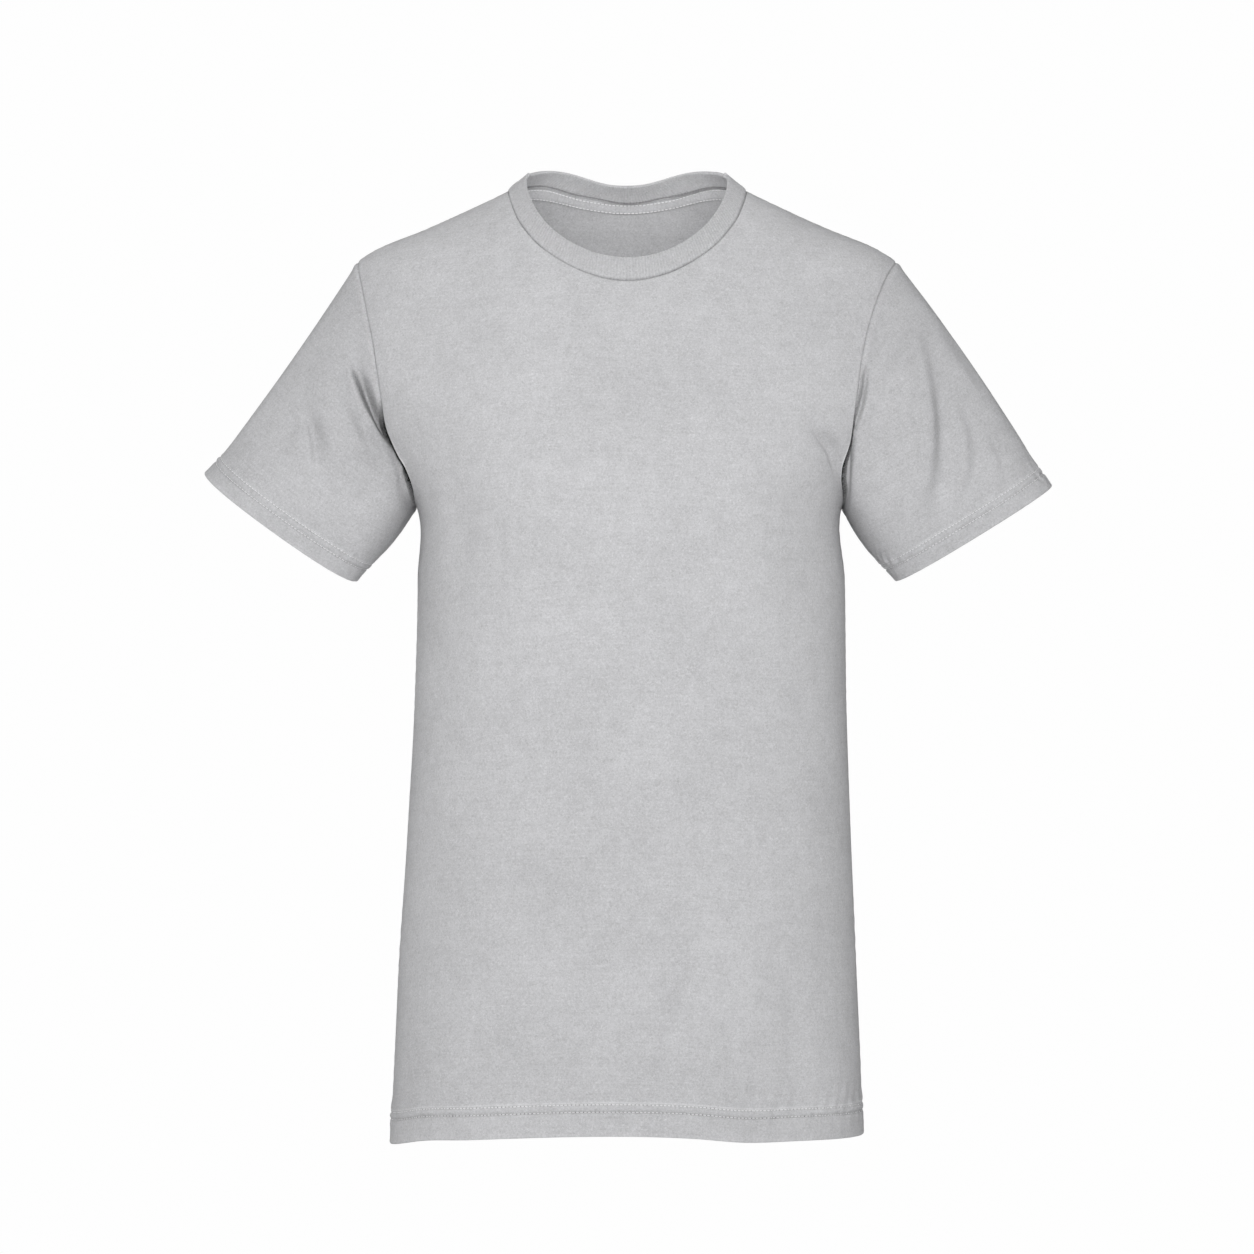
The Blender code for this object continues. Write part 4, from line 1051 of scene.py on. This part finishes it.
for sleeve in SLEEVES:
    flip = sleeve["side"] < 0
    edge = 0 if flip else LAST
    ring = armhole_ring(edge, "points")
    way = travelled(ring)
    even = np.linspace(EDGE_STEPS[-1], way[-1] - EDGE_STEPS[-1], SLEEVE_RING_STEPS + 1)[1:-1]
    at = np.concatenate((EDGE_STEPS, even, way[-1] - EDGE_STEPS[::-1]))
    turns = np.interp(at, (0.0, way[len(way) // 2], way[-1]), (0.0, 0.5, 1.0))
    points, reaches = sleeve_points(sleeve, along_line(ring, at), turns)
    x, z = points[..., 0], points[..., 2]
    normals = sleeve_normals(points, flip)
    forward = np.sin(2 * math.pi * turns)
    turned = np.sqrt(np.abs(forward))[:, None]
    free_end = np.clip((1 - reaches) / FOLD_FREE_END, 0.0, 1.0)
    settled = np.clip(reaches / FOLD_FREE_START, 0.0, 1.0) * free_end
    loose = np.clip(reaches / CREASE_FREE, 0.0, 1.0) * free_end
    depth = np.zeros(x.shape)
    for face, facing in (("front", forward > 0.0), ("back", forward < 0.0)):
        depth += fold_depth(SLEEVE_FOLDS[face], x, z) * facing[:, None] * turned * settled
        depth += fold_depth(SLEEVE_CREASES[face], x, z) * facing[:, None] * turned * loose
    seed = SLEEVE_SEED + sleeve["side"]
    depth = depth + waves(x, z, seed, *SLEEVE_RIPPLES) * turned * settled
    points = points - normals * depth[..., None]
    through = sleeve_normals(points, flip)
    pinch = pinched(normals, through)
    through[:, -1] = unit(between(at, way, armhole_ring(edge, "through")))
    u, v = lay_flat(points)
    side_off, top_off = seam_distances(points)
    ridges = (SEAM_RIDGE, ARMHOLE_RIDGE)
    depth = cloth_relief(u, v, side_off, top_off, ridges, SLEEVE_SIDE_GATHERS, SLEEVE_HEM, seed)
    outer = points - through * depth[..., None]
    sewn_sleeves.append((outer, through, u))
    # Edges worn paler, painted shade in the seams and creases, the hem's painted shade and highlight, and
    # painted shade where the sleeve tucks under the body's edge, wider on the right sleeve.
    wear_and_light = edge_wear_and_seam_shade(points, side_off, top_off, v) + hem_painted_lines(v, SLEEVE_HEM) - PINCH_SHADE * pinch
    shade = TUCK_SHADE * bell(top_off, TUCK_SHADE_WIDTH) + TUCK_DUSK * flip * bell(top_off, TUCK_DUSK_REACH)
    wear_and_light = wear_and_light - shade * tucked(points)
    grid = turn_edges(outer, through, u, v, wear_and_light, SLEEVE_HEM)
    sheet = cloth_grid(*grid, flip)
    piece = finish_piece("dressed_" + sleeve["name"], sheet, shaded_sleeve_jersey, JERSEY_THICKNESS)
    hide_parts(sleeve["name"])


# ==== Neckband ====================================================================================
# The neckband is a strip of 1 x 1 rib, folded double along its upper edge and sewn to the neck by
# both of its cut edges. It is joined into a ring just behind the left shoulder.

BAND_CLOTH = 0.0009
BAND_FOLD_RADIUS = 0.0012
BAND_CROWN = 0.0006
BAND_WALES = 230
BAND_WALE = 0.0025
WALE_STEPS = 5
BAND_JOIN = 0.022  # distance of the join behind the left shoulder seam
BAND_OUTER = np.array((  # mesh rows on the outside, as shares of the height
    0.0, 0.02, 0.05, 0.09, 0.15, 0.22, 0.30, 0.38, 0.46, 0.54, 0.62, 0.70, 0.78, 0.85, 0.91, 0.96, 1.0,
))
BAND_INNER = np.array((0.94, 0.82, 0.68, 0.54, 0.40, 0.26, 0.12, 0.02))
BAND_TURNS = np.radians((22.5, 45.0, 67.5, 90.0, 112.5, 135.0, 157.5, 180.0))
RIB_GREY = (0.53, 0.53, 0.541, 1.0)
TRIM_WASH = (0.05, 0.04)
# Painted light on the band: a highlight round its fold and on its ribs, shade in the rib furrows.
RIB_PAINTED_LIGHT = 0.16
RIB_HEIGHT = 0.00022
RIB_SHADE = 0.22
RIB_WANDER = (6, 0.03, 0.12, 0.0002)
BAND_WAVES = (6, 0.03, 0.09, 0.00025)
BAND_GATHERS = (0.008, 0.006, 0.00022)
BAND_SEED = 83
RING_SMOOTHING = 40
RIB_SETTLE = 0.0012  # how far above the seam the ribs reach their full height
SEAM_BLEND = 0.0015
BAND_RIDGE = 0.0003
# Painted shade along the neck seam.
NECK_SEAM_SHADE = 2.6
NECK_SEAM_REACH = 0.0009


def neck_ring(key):
    """Values round the neck seam: from the left shoulder across the back, then across the front."""
    return np.concatenate((back[key][neck, TOP_ROW][::-1], front[key][neck, TOP_ROW][1:]))


def round_ring(ring, way, at):
    """Smooth values at distances round a closed ring, whose last row repeats its first."""
    lap = np.concatenate((ring[-4:-1], ring, ring[1:4]))
    knots = np.concatenate((way[-4:-1] - way[-1], way, way[1:4] + way[-1]))
    return np.stack([smooth(knots, lap[:, axis], at) for axis in range(3)], axis=-1)


def blurred(ring):
    """Closed ring with its corners eased."""
    for _ in range(RING_SMOOTHING):
        inside = np.concatenate((ring[-2:-1], ring, ring[1:2]))
        ring = (inside[:-2] + 2 * inside[1:-1] + inside[2:]) / 4
    return ring


rib = cotton_material("ribbed_neckband", RIB_GREY, TRIM_WASH, worn_and_lit=RIB_PAINTED_LIGHT)
ring = neck_ring("points")
way = travelled(ring)
count = BAND_WALES * WALE_STEPS
at = (BAND_JOIN + np.linspace(0.0, way[-1], count + 1)) % way[-1]
seam = round_ring(ring, way, at)
seam_through = unit(round_ring(neck_ring("through"), way, at))
climb = round_ring(blurred(ring + band_reach(ring)), way, at) - seam
around = unit(np.roll(seam, -1, axis=0) - np.roll(seam, 1, axis=0))
around[0] = around[-1] = unit(seam[1] - seam[-2])
outward = unit(np.cross(around, climb))
height = np.linalg.norm(climb, axis=1)[:, None]
up = climb / height

# Rows of the band: its lip in the seam, the outside, the fold, and the inside.
lips = len(LIP_DEPTHS)
bent = len(BAND_TURNS)
row_share = np.concatenate((np.zeros(lips), BAND_OUTER, np.ones(bent), BAND_INNER))
row_turn = np.concatenate((np.zeros(lips + len(BAND_OUTER)), BAND_TURNS, np.full(len(BAND_INNER), math.pi)))
row_lip = np.zeros(len(row_share))
row_lip[:lips] = LIP_DEPTHS[::-1]
straight = height - BAND_FOLD_RADIUS
off = row_share * straight
outside = row_turn == 0
around_fold = BAND_FOLD_RADIUS * row_turn
lengths = np.where(outside, off, 2 * straight - off + around_fold)
lengths = np.where((row_turn > 0) & (row_turn < math.pi), straight + around_fold, lengths)
u = np.linspace(0.0, BAND_WALES * BAND_WALE, count + 1)[:, None] * np.ones(len(row_share))
v = lengths - row_lip

# Relief and painted light: the ribs, the band's own roundness, and the gathers at its seam, with a painted
# highlight round the fold and on the ribs, and painted shade in the furrows and the seam.
phase = u + waves(u, v, BAND_SEED, *RIB_WANDER)
ridge = -np.cos(2 * math.pi * phase / BAND_WALE) * RIB_HEIGHT
settle = np.where(outside, 1 - bell(off, RIB_SETTLE), 1.0)
crown = BAND_CROWN * np.sin(math.pi * row_share) + waves(u, v, BAND_SEED + 1, *BAND_WAVES)
sink = np.where(outside, seam_relief(off, BAND_RIDGE), 0.0)
gathers = np.where(outside, puckers(u, off, BAND_SEED + 2, *BAND_GATHERS), 0.0)
blend = np.where(outside, np.clip(off / SEAM_BLEND, 0.0, 1.0), 1.0)[..., None]
through = unit(seam_through[:, None, :] * (1 - blend) + outward[:, None, :] * blend)
depth = BAND_FOLD_RADIUS * (1 - np.cos(row_turn)) + row_lip + sink + (gathers - crown) * settle
points = seam[:, None, :] + up[:, None, :] * (off + BAND_FOLD_RADIUS * np.sin(row_turn))[..., None]
points = points - through * depth[..., None]
face_way = through * np.cos(row_turn)[:, None] + up[:, None, :] * np.sin(row_turn)[:, None]
points = points + face_way * (ridge * settle)[..., None]
# Paler round the fold and on the ribs, darker in the furrows and the seam: painted highlight and painted
# shade.
neck_seam_painted_shade = np.where(outside, NECK_SEAM_SHADE * bell(off, NECK_SEAM_REACH), 0.0)
wear_and_light = np.sin(row_turn) + RIB_SHADE * ridge / RIB_HEIGHT - neck_seam_painted_shade
band = finish_piece("ribbed_band", cloth_grid(points, u, v, wear_and_light, False), rib, BAND_CLOTH)
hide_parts("neckband")


# ==== Neck tape ===================================================================================
# A strip of the jersey lies flat over the back neck seam on the inside, from shoulder seam to
# shoulder seam, held by a row of stitches near each edge.

TAPE_WIDTH = 0.0105
TAPE_START = 0.0007  # its upper edge below the neck seam
TAPE_CLOTH = 0.0007
TAPE_DEPTH = 0.0026  # its face below the back panel's outer face
TAPE_SWELL = 0.0004
TAPE_ROWS = 14
TAPE_STITCHES = (0.0012, 0.0084)  # rows of stitches, from the lower edge
TAPE_GREY = (0.58, 0.58, 0.592, 1.0)
TAPE_KNIT = (0.0007, 0.0006, 0.00014)
TAPE_NEEDLE = 0.7
TAPE_EDGE_DROP = 0.0008
TAPE_EDGE_WIDTH = 0.0006
TAPE_STITCH_SINK = 0.0003
TAPE_STITCH_PULL = 0.0008
TAPE_GATHERS = (0.006, 0.004, 0.0002)
TAPE_SEED = 91
TAPE_RUB_REACH = 0.001
ROWS_BELOW_NECK = 40

tape_jersey = cotton_material(
    "neck_tape_jersey", TAPE_GREY, TRIM_WASH, TAPE_KNIT, needle_rows=TAPE_STITCHES, needle=TAPE_NEEDLE)
off_seam = TAPE_START + TAPE_WIDTH * np.linspace(1.0, 0.0, TAPE_ROWS + 1)
tape_points = []
tape_inward = []
for place in range(NECK_START + 1, LAST - NECK_START):
    line = back["points"][place, ::-1][:ROWS_BELOW_NECK]
    inward = -back["normals"][place, ::-1][:ROWS_BELOW_NECK]
    tape_points.append(along_line(line, off_seam))
    tape_inward.append(between(off_seam, travelled(line), inward))
tape_points = np.array(tape_points)
tape_inward = unit(np.array(tape_inward))
u, v = lay_flat(tape_points)
edge_off = np.minimum(v, TAPE_WIDTH - v)
lift = TAPE_DEPTH + TAPE_SWELL * np.sin(math.pi * v / TAPE_WIDTH)
lift = lift - TAPE_EDGE_DROP * bell(edge_off, TAPE_EDGE_WIDTH)
lift = lift - TAPE_STITCH_SINK * bell(edge_off - TAPE_STITCHES[0], TAPE_STITCH_PULL)
lift = lift + puckers(u, edge_off, TAPE_SEED, *TAPE_GATHERS)
tape_points = tape_points + tape_inward * lift[..., None]
wear_and_light = np.clip(np.exp(-edge_off / TAPE_RUB_REACH), 0, 1)
tape = finish_piece("back_neck_tape", cloth_grid(tape_points, u, v, wear_and_light, False), tape_jersey, TAPE_CLOTH)
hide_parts("neck_tape")


# ==== Stitching ===================================================================================
# Cotton thread in the cloth's own grey: twin-needle rows round the bottom and the sleeve hems, and
# a row along each edge of the neck tape.

STITCH_STEPS = 8
THREAD_SIDES = 6
THREAD_RADIUS = 0.00022
TAPE_THREAD_RADIUS = 0.00044
THREAD_LIE = 0.5  # how far the thread's middle lies above the cloth, in radii
THREAD_DIP = 2.4
HOLE_REACH = 0.0004
THREAD_GREY = (0.84, 0.84, 0.85, 1.0)


def plain_material(name, colour, roughness):
    material = bpy.data.materials.new(name)
    material.use_nodes = True
    shader = material.node_tree.nodes["Principled BSDF"]
    shader.inputs["Base Color"].default_value = colour
    shader.inputs["Roughness"].default_value = roughness
    return material


def sew_row(bm, line, lift, across, radius=THREAD_RADIUS):
    """One row's thread: it lies on the cloth and dips into it at every needle hole."""
    first = math.ceil(across[0] / STITCH_PITCH)
    count = math.floor(across[-1] / STITCH_PITCH) - first
    at = (first + np.arange(count * STITCH_STEPS + 1) / STITCH_STEPS) * STITCH_PITCH
    centre = between(at, across, line)
    up = unit(between(at, across, lift))
    side = unit(np.cross(up, np.gradient(centre, axis=0)))
    from_hole = np.abs((at / STITCH_PITCH + 0.5) % 1.0 - 0.5) * STITCH_PITCH
    centre = centre + up * (radius * (THREAD_LIE - THREAD_DIP * bell(from_hole, HOLE_REACH)))[:, None]
    turn = np.linspace(0.0, 2 * math.pi, THREAD_SIDES + 1)[:, None]
    rim = side[:, None] * np.cos(turn) + up[:, None] * np.sin(turn)
    points = centre[:, None] + rim * radius
    for vert, place in lay_grid(bm, len(at) - 1, THREAD_SIDES).items():
        vert.co = points[place]


thread = plain_material("sewing_thread", THREAD_GREY, roughness=0.7)

bm = bmesh.new()
for panel in (front, back):
    for row in BODY_HEM["stitches"]:
        place = BODY_HEM["rows"].index(row)
        sew_row(bm, panel["outer"][:, place], panel["through"][:, place], panel["across"][:, place])
finish_piece("body_hem_stitches", bm, thread)

bm = bmesh.new()
for outer, through, u in sewn_sleeves:
    for row in SLEEVE_HEM["stitches"]:
        place = SLEEVE_HEM["rows"].index(row)
        sew_row(bm, outer[:, place], through[:, place], u[:, place])
finish_piece("sleeve_hem_stitches", bm, thread)

bm = bmesh.new()
tape_across = lay_flat(tape_points)[0]
for wanted in TAPE_STITCHES:
    share = wanted / TAPE_WIDTH * TAPE_ROWS
    low = int(share)
    line = tape_points[:, low] * (low + 1 - share) + tape_points[:, low + 1] * (share - low)
    sew_row(bm, line, tape_inward[:, low], tape_across[:, low], TAPE_THREAD_RADIUS)
finish_piece("tape_stitches", bm, thread)


# ==== Camera, light and floor =====================================================================
# A level camera five metres in front of the chest, large soft lights round the shirt and a small one
# inside it, a white world and a plain pale floor.

IMAGE_SIZE = 1254
METRES_PER_PIXEL = 0.00077
CAMERA_DISTANCE = 5.0
CAMERA_HEIGHT = -0.336
SENSOR_WIDTH = 36.0
WHITE = (1.0, 1.0, 1.0, 1.0)
AMBIENT_STRENGTH = 0.34
BACKDROP_STRENGTH = 0.99
SOFTBOXES = (  # name, place, aim, width, height and watts
    ("key_softbox", (0.0, -1.7, 0.0), (0.0, 0.0, -0.3), 1.3, 1.3, 20.0),
    ("high_softbox", (0.0, -1.5, 0.8), (0.0, 0.0, -0.3), 1.3, 1.3, 6.0),
    ("left_softbox", (-2.2, -0.5, -0.2), (0.0, 0.0, -0.35), 1.3, 1.3, 4.2),
    ("right_softbox", (2.2, -0.5, -0.2), (0.0, 0.0, -0.35), 1.3, 1.3, 3.0),
    ("inner_fill", (0.0, -0.03, -0.17), (0.0, 0.10, -0.03), 0.20, 0.08, 0.12),
    ("back_softbox", (-1.4, 1.5, 0.6), (0.0, 0.0, -0.3), 1.3, 1.3, 18.0),
)
FLOOR_HEIGHT = -1.05
FLOOR_REACH = 1.6
FLOOR_GREY = (0.86, 0.86, 0.86, 1.0)

scene = bpy.context.scene
camera_data = bpy.data.cameras.new("camera")
camera_data.sensor_width = SENSOR_WIDTH
camera_data.lens = SENSOR_WIDTH * CAMERA_DISTANCE / (IMAGE_SIZE * METRES_PER_PIXEL)
camera = bpy.data.objects.new("camera", camera_data)
camera.location = (0.0, -CAMERA_DISTANCE, CAMERA_HEIGHT)
camera.rotation_euler = (RIGHT_ANGLE, 0.0, 0.0)
scene.collection.objects.link(camera)
scene.camera = camera
scene.view_settings.view_transform = "Standard"

scene.world = bpy.data.worlds.new("studio")
scene.world.use_nodes = True
tree = scene.world.node_tree
ambient = tree.nodes["Background"]
ambient.inputs["Color"].default_value = WHITE
ambient.inputs["Strength"].default_value = AMBIENT_STRENGTH
backdrop = add_node(tree, "ShaderNodeBackground", {"Color": WHITE, "Strength": BACKDROP_STRENGTH})
seen = tree.nodes.new("ShaderNodeLightPath").outputs["Is Camera Ray"]
mixed = add_node(tree, "ShaderNodeMixShader", {0: seen, 1: ambient.outputs[0], 2: backdrop.outputs[0]})
tree.links.new(mixed.outputs[0], tree.nodes["World Output"].inputs["Surface"])

for name, place, aim, width, height, watts in SOFTBOXES:
    lamp = bpy.data.lights.new(name, "AREA")
    lamp.shape = "RECTANGLE"
    lamp.size = width
    lamp.size_y = height
    lamp.energy = watts
    box = bpy.data.objects.new(name, lamp)
    box.location = place
    box.rotation_euler = (Vector(aim) - Vector(place)).to_track_quat("-Z", "Y").to_euler()
    box.visible_camera = False
    scene.collection.objects.link(box)

floor_mesh = bpy.data.meshes.new("floor")
floor_place = Matrix.Translation((0, 0, FLOOR_HEIGHT))
bm = bmesh.new()
bmesh.ops.create_grid(bm, x_segments=1, y_segments=1, size=FLOOR_REACH, matrix=floor_place)
bm.to_mesh(floor_mesh)
bm.free()
floor_mesh.materials.append(plain_material("pale_floor", FLOOR_GREY, roughness=0.8))
floor = bpy.data.objects.new("floor", floor_mesh)
scene.collection.objects.link(floor)
